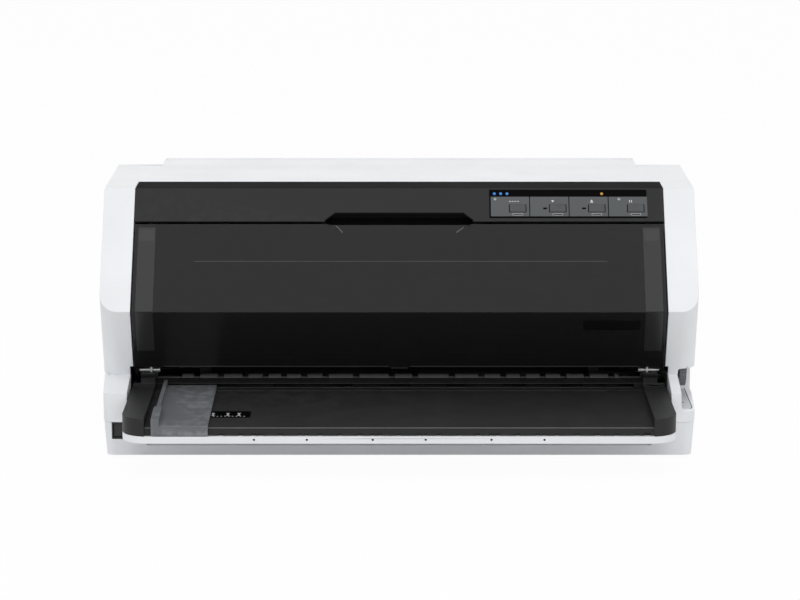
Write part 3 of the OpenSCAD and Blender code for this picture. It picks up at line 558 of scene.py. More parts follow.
class Shaper:
    """Gathers solids in one mesh, in millimetres, and makes an object of them."""

    def __init__(self) -> None:
        """Starts with an empty mesh."""
        self.mesh = bmesh.new()

    def prism(self, outline: Outline, low: float, high: float, place: Matrix = LEVEL) -> "Shaper":
        """Adds an outline drawn out from low to high along the place's z.

        Args:
            outline: Points, anticlockwise.
            low: Where the prism starts.
            high: Where it ends.
            place: The axes that the outline is drawn in.

        Returns:
            The shaper itself.
        """
        rings = [[self.mesh.verts.new(place @ Vector((x, y, z)) * MM) for x, y in outline]
                 for z in (low, high)]
        count = len(outline)
        self.mesh.faces.new(list(reversed(rings[0])))
        self.mesh.faces.new(rings[1])
        for i in range(count):
            j = (i + 1) % count
            self.mesh.faces.new([rings[0][i], rings[0][j], rings[1][j], rings[1][i]])
        return self

    def block(self, low: Sequence[float], high: Sequence[float], place: Matrix = LEVEL) -> "Shaper":
        """Adds a block from its low corner to its high corner."""
        outline = [(low[0], low[1]), (high[0], low[1]), (high[0], high[1]), (low[0], high[1])]
        return self.prism(outline, low[2], high[2], place)

    def slab(self, box: Box, low: float, high: float, place: Matrix = LEVEL) -> "Shaper":
        """Adds a block over a flat box x0, y0, x1, y1, from low to high along the place's z."""
        return self.block((box[0], box[1], low), (box[2], box[3], high), place)

    def stroke(self, path: Outline, width: float, low: float, high: float, place: Matrix = LEVEL) -> "Shaper":
        """Adds a line of even width through the path's points.

        Args:
            path: The points.
            width: Width of the line.
            low: Where it starts along the place's z.
            high: Where it ends.
            place: The axes that the path is drawn in.

        Returns:
            The shaper itself.
        """
        for (x0, y0), (x1, y1) in zip(path, path[1:]):
            length = math.hypot(x1 - x0, y1 - y0)
            ax, ay = (x1 - x0) / length * width / 2, (y1 - y0) / length * width / 2
            corners = [(x0 - ax + ay, y0 - ay - ax), (x1 + ax + ay, y1 + ay - ax),
                       (x1 + ax - ay, y1 + ay + ax), (x0 - ax - ay, y0 - ay + ax)]
            self.prism(corners, low, high, place)
        return self

    def made(self, name: str) -> bpy.types.Object:
        """The gathered solids as an object.

        Args:
            name: The object's name.

        Returns:
            The object, at the origin.
        """
        return made_plain(name, self.mesh)


def carried_over(node: str, name: str) -> bpy.types.Object:
    """A copy of a node's mesh with its corners merged and its flat faces whole.

    Args:
        node: The node.
        name: The new object's name.

    Returns:
        The new object, at the origin.
    """
    source = frame["nodes"][node].data
    mesh = bmesh.new()
    corners = [mesh.verts.new(v.co) for v in source.vertices]
    for polygon in source.polygons:
        mesh.faces.new([corners[i] for i in polygon.vertices])
    bmesh.ops.remove_doubles(mesh, verts=mesh.verts[:], dist=WELD)
    bmesh.ops.dissolve_degenerate(mesh, dist=WELD, edges=mesh.edges[:])
    bmesh.ops.dissolve_limit(mesh, angle_limit=FLAT, use_dissolve_boundaries=False, verts=mesh.verts[:],
                             edges=mesh.edges[:])
    return made_plain(name, mesh)


def softened(obj: bpy.types.Object, width: float, segments: int = 2) -> None:
    """Rounds an object's edges that are sharper than SHARP, and shades it smooth.

    Args:
        obj: The object.
        width: How far each side of an edge is drawn back.
        segments: Faces across the rounding.
    """
    for polygon in obj.data.polygons:
        polygon.use_smooth = True
    modifier = obj.modifiers.new("rounding", "BEVEL")
    modifier.width = width * MM
    modifier.segments = segments
    modifier.harden_normals = True
    modifier.use_clamp_overlap = False
    modifier.angle_limit = SHARP
    modifier.limit_method = "ANGLE"


def fitted(obj: bpy.types.Object, finish: Finish | None, body: str,
           stands_for: Iterable[str] = ()) -> bpy.types.Object:
    """Gives a piece its finish, the body that it rides on and the nodes it stands for.

    Args:
        obj: The piece.
        finish: The finish, or None where the piece has its materials.
        body: The CAD body.
        stands_for: The nodes that it replaces.

    Returns:
        The piece.
    """
    if finish is not None:
        obj.data.materials.clear()
        obj.data.materials.append(finish.material())
    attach(obj, body)
    if stands_for:
        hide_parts(*stands_for)
    log.info("%s rides on %s", obj.name, body)
    return obj


def body_of(node: str) -> str:
    """The body that a node rides on."""
    return frame["nodes"][node]["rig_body"]


# ---------------------------------------------------------------------------------------------
# Repeats, made by geometry nodes
# ---------------------------------------------------------------------------------------------


def ended(group: Group, geometry: bpy.types.NodeSocket) -> bpy.types.NodeTree:
    """Ends a tree: instances made real, and the material set."""
    real = group.add("GeometryNodeRealizeInstances", {0: geometry}).outputs[0]
    dressed = group.add("GeometryNodeSetMaterial", {"Geometry": real, "Material": group.given["Material"]})
    group.feed(group.result["Geometry"], dressed.outputs[0])
    return group.tree


@cache
def row_of_blocks() -> bpy.types.NodeTree:
    """Blocks in a row: Count of them from Start, one Step apart, each of Size."""
    group = Group("row_of_blocks", "GeometryNodeTree",
                  {"Count": (INTEGER, 8), "Start": (VECTOR, None), "Step": (VECTOR, None),
                   "Size": (VECTOR, None), "Material": (MATERIAL, None)}, {"Geometry": GEOMETRY})
    line = group.add("GeometryNodeMeshLine", {"Count": group.given["Count"],
                                              "Start Location": group.given["Start"],
                                              "Offset": group.given["Step"]}, mode="OFFSET").outputs[0]
    block = group.add("GeometryNodeMeshCube", {"Size": group.given["Size"]}).outputs[0]
    spread = group.add("GeometryNodeInstanceOnPoints", {"Points": line, "Instance": block}).outputs[0]
    return ended(group, spread)


@cache
def ring_of_ribs() -> bpy.types.NodeTree:
    """Ribs round an axis through Centre: Count of them at Radius, each of Size, the ring turned by Turn."""
    group = Group("ring_of_ribs", "GeometryNodeTree",
                  {"Count": (INTEGER, 36), "Radius": (FLOAT, 0.02), "Centre": (VECTOR, None),
                   "Size": (VECTOR, None), "Turn": (VECTOR, None), "Material": (MATERIAL, None)},
                  {"Geometry": GEOMETRY})
    ring = group.add("GeometryNodeMeshCircle", {"Vertices": group.given["Count"],
                                                "Radius": group.given["Radius"]}).outputs[0]
    step = group.maths("DIVIDE", math.tau, group.given["Count"])
    turn = group.maths("MULTIPLY", group.add("GeometryNodeInputIndex").outputs[0], step)
    turned = group.add("ShaderNodeCombineXYZ", {"Z": turn}).outputs[0]
    rib = group.add("GeometryNodeMeshCube", {"Size": group.given["Size"]}).outputs[0]
    spread = group.add("GeometryNodeInstanceOnPoints",
                       {"Points": ring, "Instance": rib, "Rotation": turned}).outputs[0]
    laid = group.add("GeometryNodeTransform", {"Geometry": spread, "Rotation": group.given["Turn"],
                                               "Translation": group.given["Centre"]}).outputs[0]
    return ended(group, laid)


@cache
def screw_heads() -> bpy.types.NodeTree:
    """A domed head with a cross slot at each point of the object's own mesh, turned by Turn."""
    group = Group("screw_heads", "GeometryNodeTree",
                  {"Points": (GEOMETRY, None), "Radius": (FLOAT, 0.003), "Height": (FLOAT, 0.0015),
                   "Turn": (VECTOR, None), "Material": (MATERIAL, None)}, {"Geometry": GEOMETRY})
    radius, height = group.given["Radius"], group.given["Height"]
    head = group.add("GeometryNodeMeshCylinder",
                     {"Vertices": 20, "Radius": radius, "Depth": height}).outputs[0]
    crown = group.add("GeometryNodeMeshCone", {"Vertices": 20, "Radius Bottom": radius, "Depth":
                                               group.maths("MULTIPLY", height, 0.5), "Radius Top":
                                               group.maths("MULTIPLY", radius, 0.72)}).outputs[0]
    rise = group.add("ShaderNodeCombineXYZ", {"Z": group.maths("MULTIPLY", height, 0.4)}).outputs[0]
    crown = group.add("GeometryNodeTransform", {"Geometry": crown, "Translation": rise}).outputs[0]
    whole = group.add("GeometryNodeMeshBoolean", {"Mesh 2": head}, operation="UNION")
    group.tree.links.new(crown, whole.inputs["Mesh 2"])
    long, thin = group.maths("MULTIPLY", radius, 1.15), group.maths("MULTIPLY", radius, 0.24)
    deep = group.maths("MULTIPLY", height, 1.6)
    lifted = group.add("ShaderNodeCombineXYZ", {"Z": group.maths("MULTIPLY", height, 1.1)}).outputs[0]
    for along, over in ((long, thin), (thin, long)):
        size = group.add("ShaderNodeCombineXYZ", {"X": along, "Y": over, "Z": deep}).outputs[0]
        slot = group.add("GeometryNodeMeshCube", {"Size": size}).outputs[0]
        slot = group.add("GeometryNodeTransform", {"Geometry": slot, "Translation": lifted}).outputs[0]
        whole = group.add("GeometryNodeMeshBoolean", {"Mesh 1": whole.outputs[0], "Mesh 2": slot},
                          operation="DIFFERENCE")
    spread = group.add("GeometryNodeInstanceOnPoints",
                       {"Points": group.given["Points"], "Instance": whole.outputs[0],
                        "Rotation": group.given["Turn"]}).outputs[0]
    return ended(group, spread)


def grown(name: str, tree: bpy.types.NodeTree, values: Mapping[str, Any], finish: Finish,
          points: Iterable[Sequence[float]] = (), edge: float = 0.0) -> bpy.types.Object:
    """A repeat, made plain.

    Args:
        name: The object's name.
        tree: The geometry node tree.
        values: The tree's inputs by name, in metres.
        finish: The finish of what it makes.
        points: Points in millimetres for a tree that starts from them.
        edge: Width of the rounding of its edges.

    Returns:
        The object with a plain mesh.
    """
    data = bpy.data.meshes.new(name)
    data.from_pydata([Vector(p) * MM for p in points], [], [])
    made = linked(name, data)
    modifier = made.modifiers.new("repeat", "NODES")
    modifier.node_group = tree
    given = dict(values, Material=finish.material())
    for item in tree.interface.items_tree:
        if item.item_type == "SOCKET" and item.in_out == "INPUT" and item.name in given:
            modifier[item.identifier] = given[item.name]
    if edge > 0:
        rounding = made.modifiers.new("rounding", "BEVEL")
        rounding.width = edge * MM
        rounding.segments = 2
        rounding.limit_method = "ANGLE"
        rounding.angle_limit = SHARP
    bpy.context.view_layer.update()
    whole = made.evaluated_get(bpy.context.evaluated_depsgraph_get())
    made.data = bpy.data.meshes.new_from_object(whole)
    made.modifiers.clear()
    return made


def millimetres(*values: float) -> tuple[float, ...]:
    """Millimetres as the frame's metres."""
    return tuple(v * MM for v in values)


def block_row(name: str, count: int, start: Spot, pitch: float, size: Spot, finish: Finish,
              edge: float = 0.0) -> bpy.types.Object:
    """A row of blocks along X, in millimetres.

    Args:
        name: The object's name.
        count: How many blocks.
        start: Centre of the first.
        pitch: From one to the next.
        size: Size of each.
        finish: Their finish.
        edge: Width of the rounding of their edges.

    Returns:
        The object with a plain mesh.
    """
    values = {"Count": count, "Start": millimetres(*start), "Step": millimetres(pitch, 0, 0),
              "Size": millimetres(*size)}
    return grown(name, row_of_blocks(), values, finish, edge=edge)


# ---------------------------------------------------------------------------------------------
# The printer's sub-assemblies
# ---------------------------------------------------------------------------------------------


@dataclass(frozen=True)
class Part:
    """A node that is shown in its own shape, with rounded edges and a finish."""

    node: str
    finish: Finish
    slot: Slot
    edge: float = 0.3
    segments: int = 2

    def build(self) -> bpy.types.Object:
        """Makes the piece that stands for the node.

        Returns:
            The piece.
        """
        made = carried_over(self.node, self.node + "_finished")
        softened(made, self.edge, self.segments)
        return fitted(made, self.finish, body_of(self.node), [self.node])


def alike(finish: Finish, slot: Slot, *nodes: str, edge: float = 0.3, segments: int = 2) -> tuple[Part, ...]:
    """Parts with the same finish, slot and rounding."""
    return tuple(Part(node, finish, slot, edge, segments) for node in nodes)


class Unit:
    """A sub-assembly: nodes shown in their own shape, and what the looks add to them."""

    parts: Sequence[Part] = ()

    def build(self) -> None:
        """Builds the parts and then what is added to them."""
        for part in self.parts:
            part.build()
        self.extras()

    def extras(self) -> None:
        """Adds nothing, unless the sub-assembly has more to add."""


@dataclass
class Case(Unit):
    """The white upper and lower case, the rear sheet guide, the feet and the case screws."""

    parts: Sequence[Part] = (
        *alike(WHITE, Slot.CASE, "upper_case", "lower_case", "rear_sheet_guide", edge=0.45, segments=3),
        Part("rubber_feet", RUBBER, Slot.RUBBER, 0.5),
        Part("case_screws", BRIGHT, Slot.BRIGHT, 0.1),
    )
    floor_z: float = 38.0
    floor_skin: float = 0.03
    recess_floor: Outline = ((226.6, -107.0), (232.2, -107.0), (233.6, -105.9), (234.6, -103.0),
                             (235.0, -99.0), (235.0, -38.0), (226.6, -38.0))
    groove: Outline = ((235.3, -38.0), (235.3, -99.0), (235.0, -103.0), (234.2, -106.0), (232.7, -107.6))
    groove_width: float = 0.7
    groove_skin: float = 0.05
    screw: Point = (229.6, -86.0)
    screw_radius: float = 1.0

    def extras(self) -> None:
        """Lays painted shade in the knob's recess: a darker sheet on its floor, a dark line along its groove
        and a dark disc at its screw.
        """
        floor = Shaper().prism(self.recess_floor, self.floor_z, self.floor_z + self.floor_skin)
        fitted(floor.made("knob_recess_floor_shade"), RECESS_SHADE, "case")
        top = self.floor_z + self.groove_skin
        recess = Shaper().stroke(self.groove, self.groove_width, self.floor_z, top)
        recess.prism(disc(*self.screw, self.screw_radius), self.floor_z, top)
        fitted(recess.made("knob_recess_groove_shade"), SHADOW, "case")


@dataclass
class FrontPanel(Unit):
    """The dark fascia with its finger grip, and the control panel with its cells, keys and lamps."""

    front: Part = Part("fascia", TRIM, Slot.TRIM, 0.5, 3)
    parts: Sequence[Part] = (
        Part("control_panel", PANEL, Slot.PANEL, 0.12),
        Part("panel_board", BOARD, Slot.BOARD, 0.1),
        *alike(KEY, Slot.KEY, "menu_key", "line_feed_key", "load_key", "pause_key", edge=0.6, segments=3),
    )
    level: float = 0.98
    lamp_edge: float = 0.2
    blue_below_x: float = 90.0
    unlit_below_y: float = -8.0
    panel_span: Span = (73.5, 201.0)
    panel_top: float = 0.3
    ink: float = 0.04
    cell_span: Span = (-26.0, -8.2)
    cell_inset: float = 0.9
    cell_gap: float = 0.9
    cell_share: float = 0.995
    keys: tuple[float, ...] = (96.2, 128.7, 160.4, 192.0)
    key_half: float = 7.1
    key_span: Span = (-22.4, -15.2)
    sign_y: float = -12.4
    sign_shift: float = 4.0
    dashes: int = 4
    dash: Box = (-3.0, -0.25, -1.6, 0.25)
    dash_pitch: float = 2.2
    arrow_half: float = 1.2
    arrow_height: float = 1.9
    feed_tip: float = -1.0
    load_base: float = -0.3
    load_bar: Box = (-1.2, -1.3, 1.2, -0.8)
    pause_bars: tuple[Box, ...] = ((-1.1, -1.0, -0.5, 1.2), (0.5, -1.0, 1.1, 1.2))
    pill: Box = (-4.2, -25.0, 4.2, -23.4)
    pill_core: Box = (-3.9, -24.75, 3.9, -23.65)
    side_pill: Box = (-12.0, -19.6, -8.6, -18.0)
    pill_radius: float = 0.75
    core_radius: float = 0.5
    grip_floor: Box = (-59.9, -36.0, 59.9, -21.1)
    grip_depth: Span = (-11.95, -11.9)
    rebate: Box = (62.5, -36.0, 200.0, -29.0)
    rebate_depth: Span = (-5.6, -5.2)

    def build(self) -> None:
        """Builds the fascia with painted shade on its level top, a darker and barely reflecting copy of its
        trim, and then the panel.
        """
        made = self.front.build()
        made.data.materials.append(TOP_SHADE_TRIM.material())
        for polygon in made.data.polygons:
            polygon.material_index = int(polygon.normal.z > self.level)
        super().build()

    def extras(self) -> None:
        """Adds the lamps, the printing on the panel and the near-black painted shade on the fascia's grip and
        rebate.
        """
        self.lamps()
        self.cells()
        self.marks()
        self.dark_faces()

    def lamps(self) -> None:
        """Dresses the lamps: three lit blue, one amber, two unlit."""
        made = carried_over("indicator_lamps", "indicator_lamps_finished")
        softened(made, self.lamp_edge)
        for finish in (BLUE_LAMP, AMBER_LAMP, CLEAR_LAMP):
            made.data.materials.append(finish.material())
        inverse = SLOPE.inverted()
        for polygon in made.data.polygons:
            place = inverse @ (polygon.center / MM)
            lit = 0 if place.x < self.blue_below_x else 1
            polygon.material_index = 2 if place.y < self.unlit_below_y else lit
        fitted(made, None, body_of("indicator_lamps"), ["indicator_lamps"])

    def cells(self) -> None:
        """Lays the four grey printed cells round the keys."""
        width = (self.panel_span[1] - self.panel_span[0] + self.cell_gap) / len(self.keys)
        (bottom, top), (low, high) = self.cell_span, self.key_span
        shaper = Shaper()
        for i, key in enumerate(self.keys):
            left = self.panel_span[0] + self.cell_inset + i * width * self.cell_share
            right = left + width - self.cell_gap
            for box in ((left, bottom, right, low), (left, high, right, top),
                        (left, low, key - self.key_half, high), (key + self.key_half, low, right, high)):
                shaper.slab(box, self.panel_top, self.panel_top + self.ink, SLOPE)
        fitted(shaper.made("panel_cells"), CELL, "case")

    def marks(self) -> None:
        """Prints the plain signs round the keys: a tear line, arrows, an eject sign and pause bars."""
        low, high = self.panel_top + self.ink, self.panel_top + 2 * self.ink
        line, feed, load, pause = (x - self.sign_shift for x in self.keys)
        half, tall, y = self.arrow_half, self.arrow_height, self.sign_y
        white, black = Shaper(), Shaper()
        for i in range(self.dashes):
            white.slab(moved(self.dash, line + i * self.dash_pitch, y), low, high, SLOPE)
        tip, base = y + self.feed_tip, y + self.load_base
        white.prism([(feed, tip), (feed + half, tip + tall), (feed - half, tip + tall)], low, high, SLOPE)
        white.prism([(load - half, base), (load + half, base), (load, base + tall)], low, high, SLOPE)
        white.slab(moved(self.load_bar, load, y), low, high, SLOPE)
        for bar in self.pause_bars:
            white.slab(moved(bar, pause, y), low, high, SLOPE)
        for x in self.keys:
            white.prism(rounded(*moved(self.pill, x), self.pill_radius), low, high, SLOPE)
            black.prism(rounded(*moved(self.pill_core, x), self.core_radius), high, high + self.ink, SLOPE)
        for x in self.keys[1:3]:
            black.prism(rounded(*moved(self.side_pill, x), self.pill_radius), low, high, SLOPE)
        fitted(white.made("panel_signs"), INK, "case")
        fitted(black.made("panel_pills"), PANEL, "case")

    def dark_faces(self) -> None:
        """Lays near-black painted shade on the finger grip's floor, and on the rebate behind the gap above
        the cover.
        """
        grip_shade = Shaper().slab(self.grip_floor, *self.grip_depth, SLOPE)
        fitted(grip_shade.made("painted_shade_black"), NEAR_BLACK_SHADE, "case")
        inner, y0, outer, y1 = self.rebate
        lips = Shaper()
        for x0, x1 in ((-outer, -inner), (inner, outer)):
            lips.slab((x0, y0, x1, y1), *self.rebate_depth, SLOPE)
        fitted(lips.made("fascia_rebate_shade"), NEAR_BLACK_SHADE, "case")


@dataclass
class FrontCover(Unit):
    """The smoked cover with lighter bands and squares at its margins, painted see-through where the side
    frames show through it, its slot as a near-black patch of painted shade, painted highlight lines, and its
    hinge pins.
    """

    parts: Sequence[Part] = (
        Part("printer_cover", SMOKED, Slot.SMOKED, 0.5, 3),
        Part("cover_hinge_pins", PIN, Slot.BRIGHT),
    )
    skin: float = 0.03
    margin: Span = (197.0, 211.0)
    slope_span: Span = (-111.0, -36.0)
    low_span: Span = (-37.0, -0.5)
    window_inset: float = 1.0
    window_span: Span = (-48.0, -38.0)
    window_radius: float = 0.8
    slot: Box = (147.2, -17.3, 193.0, -8.2)
    slot_radius: float = 1.6
    slope_highlight: Box = (-165.0, -66.6, 168.0, -66.3)
    low_highlights: tuple[Box, ...] = ((-189.6, -52.4, -8.3, -51.9), (8.7, -52.4, 193.4, -51.9))
    grip_highlights: tuple[Outline, ...] = (((-50.8, -34.9), (-46.1, -40.2)), ((51.9, -36.2), (46.6, -40.2)))
    grip_highlight_width: float = 0.9

    def extras(self) -> None:
        """Lays painted light and shade on the cover: the see-through bands and squares at its margins,
        near-black shade in its slot, and the highlight lines.
        """
        seen_bands, light, dark, sheen = Shaper(), Shaper(), Shaper(), Shaper()
        skin, inset = self.skin, self.window_inset
        for side in (-1, 1):
            x0, x1 = sorted((side * self.margin[0], side * self.margin[1]))
            seen_bands.slab((x0, self.slope_span[0], x1, self.slope_span[1]), 0.0, skin, SLOPE)
            seen_bands.slab((x0, self.low_span[0], x1, self.low_span[1]), 0.0, skin, RECEDING)
            (y0, y1), radius = self.window_span, self.window_radius
            window = rounded(x0 + inset, y0, x1 - inset, y1, radius)
            light.prism(window, skin, 2 * skin, SLOPE)
        dark.prism(rounded(*self.slot, self.slot_radius), 0.0, skin, RECEDING)
        sheen.slab(self.slope_highlight, 0.0, skin, SLOPE)
        for path in self.grip_highlights:
            sheen.stroke(path, self.grip_highlight_width, 0.0, skin, SLOPE)
        for line in self.low_highlights:
            sheen.slab(line, 0.0, skin, RECEDING)
        fitted(seen_bands.made("cover_see_through_bands"), SEE_THROUGH_BAND, "cover")
        fitted(light.made("cover_see_through_squares"), SEE_THROUGH_SQUARE, "cover")
        fitted(dark.made("cover_slot_shade"), NEAR_BLACK_SHADE, "cover")
        fitted(sheen.made("cover_painted_highlights"), SHEEN, "cover")


@dataclass
class PaperTable(Unit):
    """The dark table, its white base and the sliding edge guide."""

    parts: Sequence[Part] = (
        Part("table_tray", TABLE, Slot.TRIM, 0.45, 3),
        Part("table_base", WHITE, Slot.CASE, 0.2),
        Part("edge_guide", ACCENT, Slot.ACCENT, 0.3, 3),
    )
    front: Point = (-189.0, 42.2)
    rear: Point = (-81.0, 46.5)
    lit_count: int = 11
    lit_pitch: float = 30.7
    lit_size: Spot = (28.7, 0.5, 0.06)
    lit_y: float = -81.5
    lit_rise: float = 0.01
    front_edge: Box = (-198.0, -186.4, 198.0, -185.5)
    front_rise: float = 0.08
    guide_edge: Box = (-185.0, -188.6, -148.8, -187.7)
    guide_edge_span: Span = (44.0, 44.3)
    hole: Point = (-187.5, 33.4)
    hole_at: tuple[float, ...] = (20.5, 71.5, 112.5)
    hole_radius: float = 0.85
    hole_skin: float = 0.1
    label: Box = (-150.3, 31.0, -116.9, 49.0)
    label_radius: float = 2.0
    label_skin: float = 0.03
    mark_top: float = 0.05
    marks_at: tuple[float, ...] = (-146.4, -134.8, -126.0)
    mark_boxes: tuple[Box, ...] = ((-0.45, 5.5, 0.45, 12.5), (-1.4, 5.5, 1.4, 6.5), (-1.4, 11.5, 1.4, 12.5))
    ticks: int = 9
    tick: Box = (4.0, 3.4, 5.2, 4.2)
    tick_pitch: float = 3.0

    def extras(self) -> None:
        """Adds the painted highlights on the lit edges, painted shade in the base's holes and the position
        label.
        """
        self.lit_edges()
        self.base_holes()
        self.scale()

    def height(self, y: float) -> float:
        """Height of the table's plate at y."""
        (front_y, front_z), (rear_y, rear_z) = self.front, self.rear
        return front_z + (y - front_y) / (rear_y - front_y) * (rear_z - front_z)

    def lit_edges(self) -> None:
        """Lays painted highlights: the plate's lit rear edge, broken by narrow notches, and the lit front
        edges of the plate and the edge guide.
        """
        start = (-(self.lit_count // 2) * self.lit_pitch, self.lit_y, self.height(self.lit_y) + self.lit_rise)
        lit = block_row("table_rear_highlight", self.lit_count, start, self.lit_pitch, self.lit_size, SHEEN)
        fitted(lit, None, "case")
        top = self.height(self.front_edge[1]) + self.front_rise
        edge = Shaper().slab(self.front_edge, self.front[1], top)
        fitted(edge.made("table_front_highlight"), GLINT, "case")
        rail = Shaper().slab(self.guide_edge, *self.guide_edge_span)
        fitted(rail.made("edge_guide_front_highlight"), GLINT, body_of("edge_guide"))

    def base_holes(self) -> None:
        """Lays near-black painted shade on the floors of the six holes in the front of the white base."""
        upright = Face(self.hole, (self.hole[0], self.hole[1] + 1)).matrix()
        floors = Shaper()
        for x in self.hole_at:
            for side in (-x, x):
                floors.prism(disc(side, 0.0, self.hole_radius, 16), 0.0, self.hole_skin, upright)
        fitted(floors.made("table_base_hole_shade"), NEAR_BLACK_SHADE, "case")

    def scale(self) -> None:
        """Lays the black position label with its white marks on the plate."""
        slant = Face(self.front, self.rear).matrix()
        left, low = self.label[:2]
        label = Shaper().prism(rounded(*self.label, self.label_radius), 0.0, self.label_skin, slant)
        boxes = [moved(box, x, low) for x in self.marks_at for box in self.mark_boxes]
        boxes += [moved(self.tick, left + i * self.tick_pitch, low) for i in range(self.ticks)]
        marks = Shaper()
        for box in boxes:
            marks.slab(box, self.label_skin, self.mark_top, slant)
        fitted(label.made("scale_label"), PANEL, "case")
        fitted(marks.made("scale_marks"), INK, "case")


@dataclass
class Controls(Unit):
    """The feed knob and the power switch."""

    parts: Sequence[Part] = (
        Part("paper_feed_knob", ACCENT, Slot.ACCENT, 0.12),
        Part("power_switch", BLACK, Slot.BLACK, 0.4, 3),
        Part("switch_body", BLACK, Slot.BLACK, 0.2),
    )


@dataclass
class PaperPath(Unit):
    """Side frames, guides, rollers and gears."""

    parts: Sequence[Part] = (
        *alike(SHEET, Slot.SHEET, "left_side_frame", "right_side_frame", "cross_beam", edge=0.25),
        *alike(TRIM, Slot.TRIM, "front_paper_guide", "rear_paper_guide"),
        *alike(RUBBER, Slot.RUBBER, "platen", "front_feed_roller"),
        Part("front_pinch_roller", PINCH, Slot.RUBBER),
        Part("rear_feed_roller", RUBBER, Slot.RUBBER),
        Part("rear_pinch_roller", PINCH, Slot.RUBBER),
        *alike(NYLON, Slot.NYLON, "front_roller_gear", "rear_roller_gear", "idler_gear", "feed_pinion",
               "shaft_bushes", edge=0.06, segments=1),
        Part("feed_motor", MOTOR, Slot.MOTOR),
    )
    ribs: int = 21
    rib_start: Spot = (-150.0, 74.0, 46.9)
    rib_pitch: float = 15.0
    rib_size: Spot = (1.2, 46.0, 0.4)
    rib_edge: float = 0.1
    frame_face: float = 199.7
    screws: Outline = ((-70, 88), (50, 100), (90, 70), (140, 60))
    screw_radius: float = 3.2
    screw_height: float = 1.6
    line: Box = (-190.0, -71.4, 190.0, -70.8)
    line_span: Span = (46.8, 46.85)

    def extras(self) -> None:
        """Adds the rear guide's ribs, the frames' screws and the lit line of the front guide."""
        ribs = block_row("rear_guide_ribs", self.ribs, self.rib_start, self.rib_pitch, self.rib_size, TRIM,
                         self.rib_edge)
        fitted(ribs, None, "case")
        for name, side in (("left_frame_screws", -1), ("right_frame_screws", 1)):
            values = {"Radius": self.screw_radius * MM, "Height": self.screw_height * MM,
                      "Turn": (0.0, -side * 0.5 * math.pi, 0.0)}
            points = [(side * self.frame_face, y, z) for y, z in self.screws]
            fitted(grown(name, screw_heads(), values, BRIGHT, points), None, "case")
        line = Shaper().slab(self.line, *self.line_span).made("front_guide_highlight")
        fitted(line, GLINT, "case")


@dataclass
class CarriageUnit(Unit):
    """The carriage with its head, shaft, belt, motor and ribbon."""

    parts: Sequence[Part] = (
        Part("guide_shaft", BRIGHT, Slot.BRIGHT, 0.4),
        Part("carriage", BLACK, Slot.BLACK, 0.5),
        Part("print_head", HEAD, Slot.CAST, 0.4),
        Part("carriage_motor", MOTOR, Slot.MOTOR, 0.05),
        *alike(NYLON, Slot.NYLON, "motor_pulley", "idler_pulley", edge=0.15),
        Part("belt_tensioner", SHEET, Slot.SHEET, 0.2),
        Part("carriage_belt", RUBBER, Slot.RUBBER, 0.1),
        Part("ribbon_cartridge", TRIM, Slot.TRIM, 0.12),
        Part("ribbon_knob", ACCENT, Slot.ACCENT, 0.5, 3),
    )
    winder: Spot = (-140.0, -56.0, 117.4)
    winder_ribs: int = 28
    winder_radius: float = 9.0
    winder_rib: Spot = (0.9, 0.9, 5.0)
    winder_edge: float = 0.2
    ribbon: Box = (-156.5, -11.6, 156.5, -2.4)
    ribbon_span: Span = (47.6, 47.68)
    belt_runs: tuple[tuple[str, float], ...] = (("belt_teeth_front", 47.1), ("belt_teeth_rear", 60.9))
    teeth: int = 170
    teeth_left: float = -171.6
    teeth_z: float = 84.0
    tooth_pitch: float = 2.03
    tooth: Spot = (1.0, 0.5, 7.6)

    def extras(self) -> None:
        """Adds the ribs of the ribbon knob, the inked ribbon and the belt's teeth."""
        values = {"Count": self.winder_ribs, "Radius": self.winder_radius * MM,
                  "Centre": millimetres(*self.winder), "Size": millimetres(*self.winder_rib),
                  "Turn": (0.0, 0.0, 0.0)}
        ribs = grown("ribbon_knob_ribs", ring_of_ribs(), values, ACCENT, edge=self.winder_edge)
        fitted(ribs, None, "ribbon_winder")
        ribbon = Shaper().slab(self.ribbon, *self.ribbon_span).made("inked_ribbon")
        fitted(ribbon, RIBBON, "case")
        for name, y in self.belt_runs:
            start = (self.teeth_left, y, self.teeth_z)
            teeth = block_row(name, self.teeth, start, self.tooth_pitch, self.tooth, RUBBER)
            fitted(teeth, None, "case")


@dataclass
class TractorUnit(Unit):
    """The rear tractors with their shafts and belt."""

    parts: Sequence[Part] = (
        *alike(BRIGHT, Slot.BRIGHT, "tractor_guide_shaft", "tractor_shaft"),
        Part("tractor_belt", RUBBER, Slot.RUBBER, 0.1),
    )
    body_edge: float = 0.4
    sprocket_edge: float = 0.2

    def extras(self) -> None:
        """Builds the two tractors, each with its sprocket and its door."""
        for side in ("left", "right"):
            Part(side + "_tractor", BLACK, Slot.BLACK, self.body_edge).build()
            Part(side + "_sprocket", NYLON, Slot.NYLON, self.sprocket_edge).build()
            Part(side + "_tractor_door", ACCENT, Slot.ACCENT, self.body_edge).build()


@dataclass
class Electronics(Unit):
    """The boards, sockets and supply in the floor of the case."""

    parts: Sequence[Part] = (
        Part("main_board", BOARD, Slot.BOARD, 0.1),
        Part("interface_sockets", BLACK, Slot.BLACK),
        Part("power_supply", SHEET, Slot.SHEET),
        Part("mains_inlet", BLACK, Slot.BLACK),
    )
    leg_rows: tuple[tuple[str, float], ...] = (("chip_legs_front", 104.0), ("chip_legs_rear", 126.0))
    legs: int = 25
    legs_left: float = 101.0
    legs_z: float = 14.0
    leg_pitch: float = 2.54
    leg: Spot = (0.7, 2.4, 0.8)

    def extras(self) -> None:
        """Adds the legs of the chips."""
        for name, y in self.leg_rows:
            start = (self.legs_left, y, self.legs_z)
            legs = block_row(name, self.legs, start, self.leg_pitch, self.leg, BRIGHT)
            fitted(legs, None, "case")


@dataclass(frozen=True)
class Lamp:
    """One soft box."""

    name: str
    place: Spot
    target: Spot
    size: Span
    watts: float


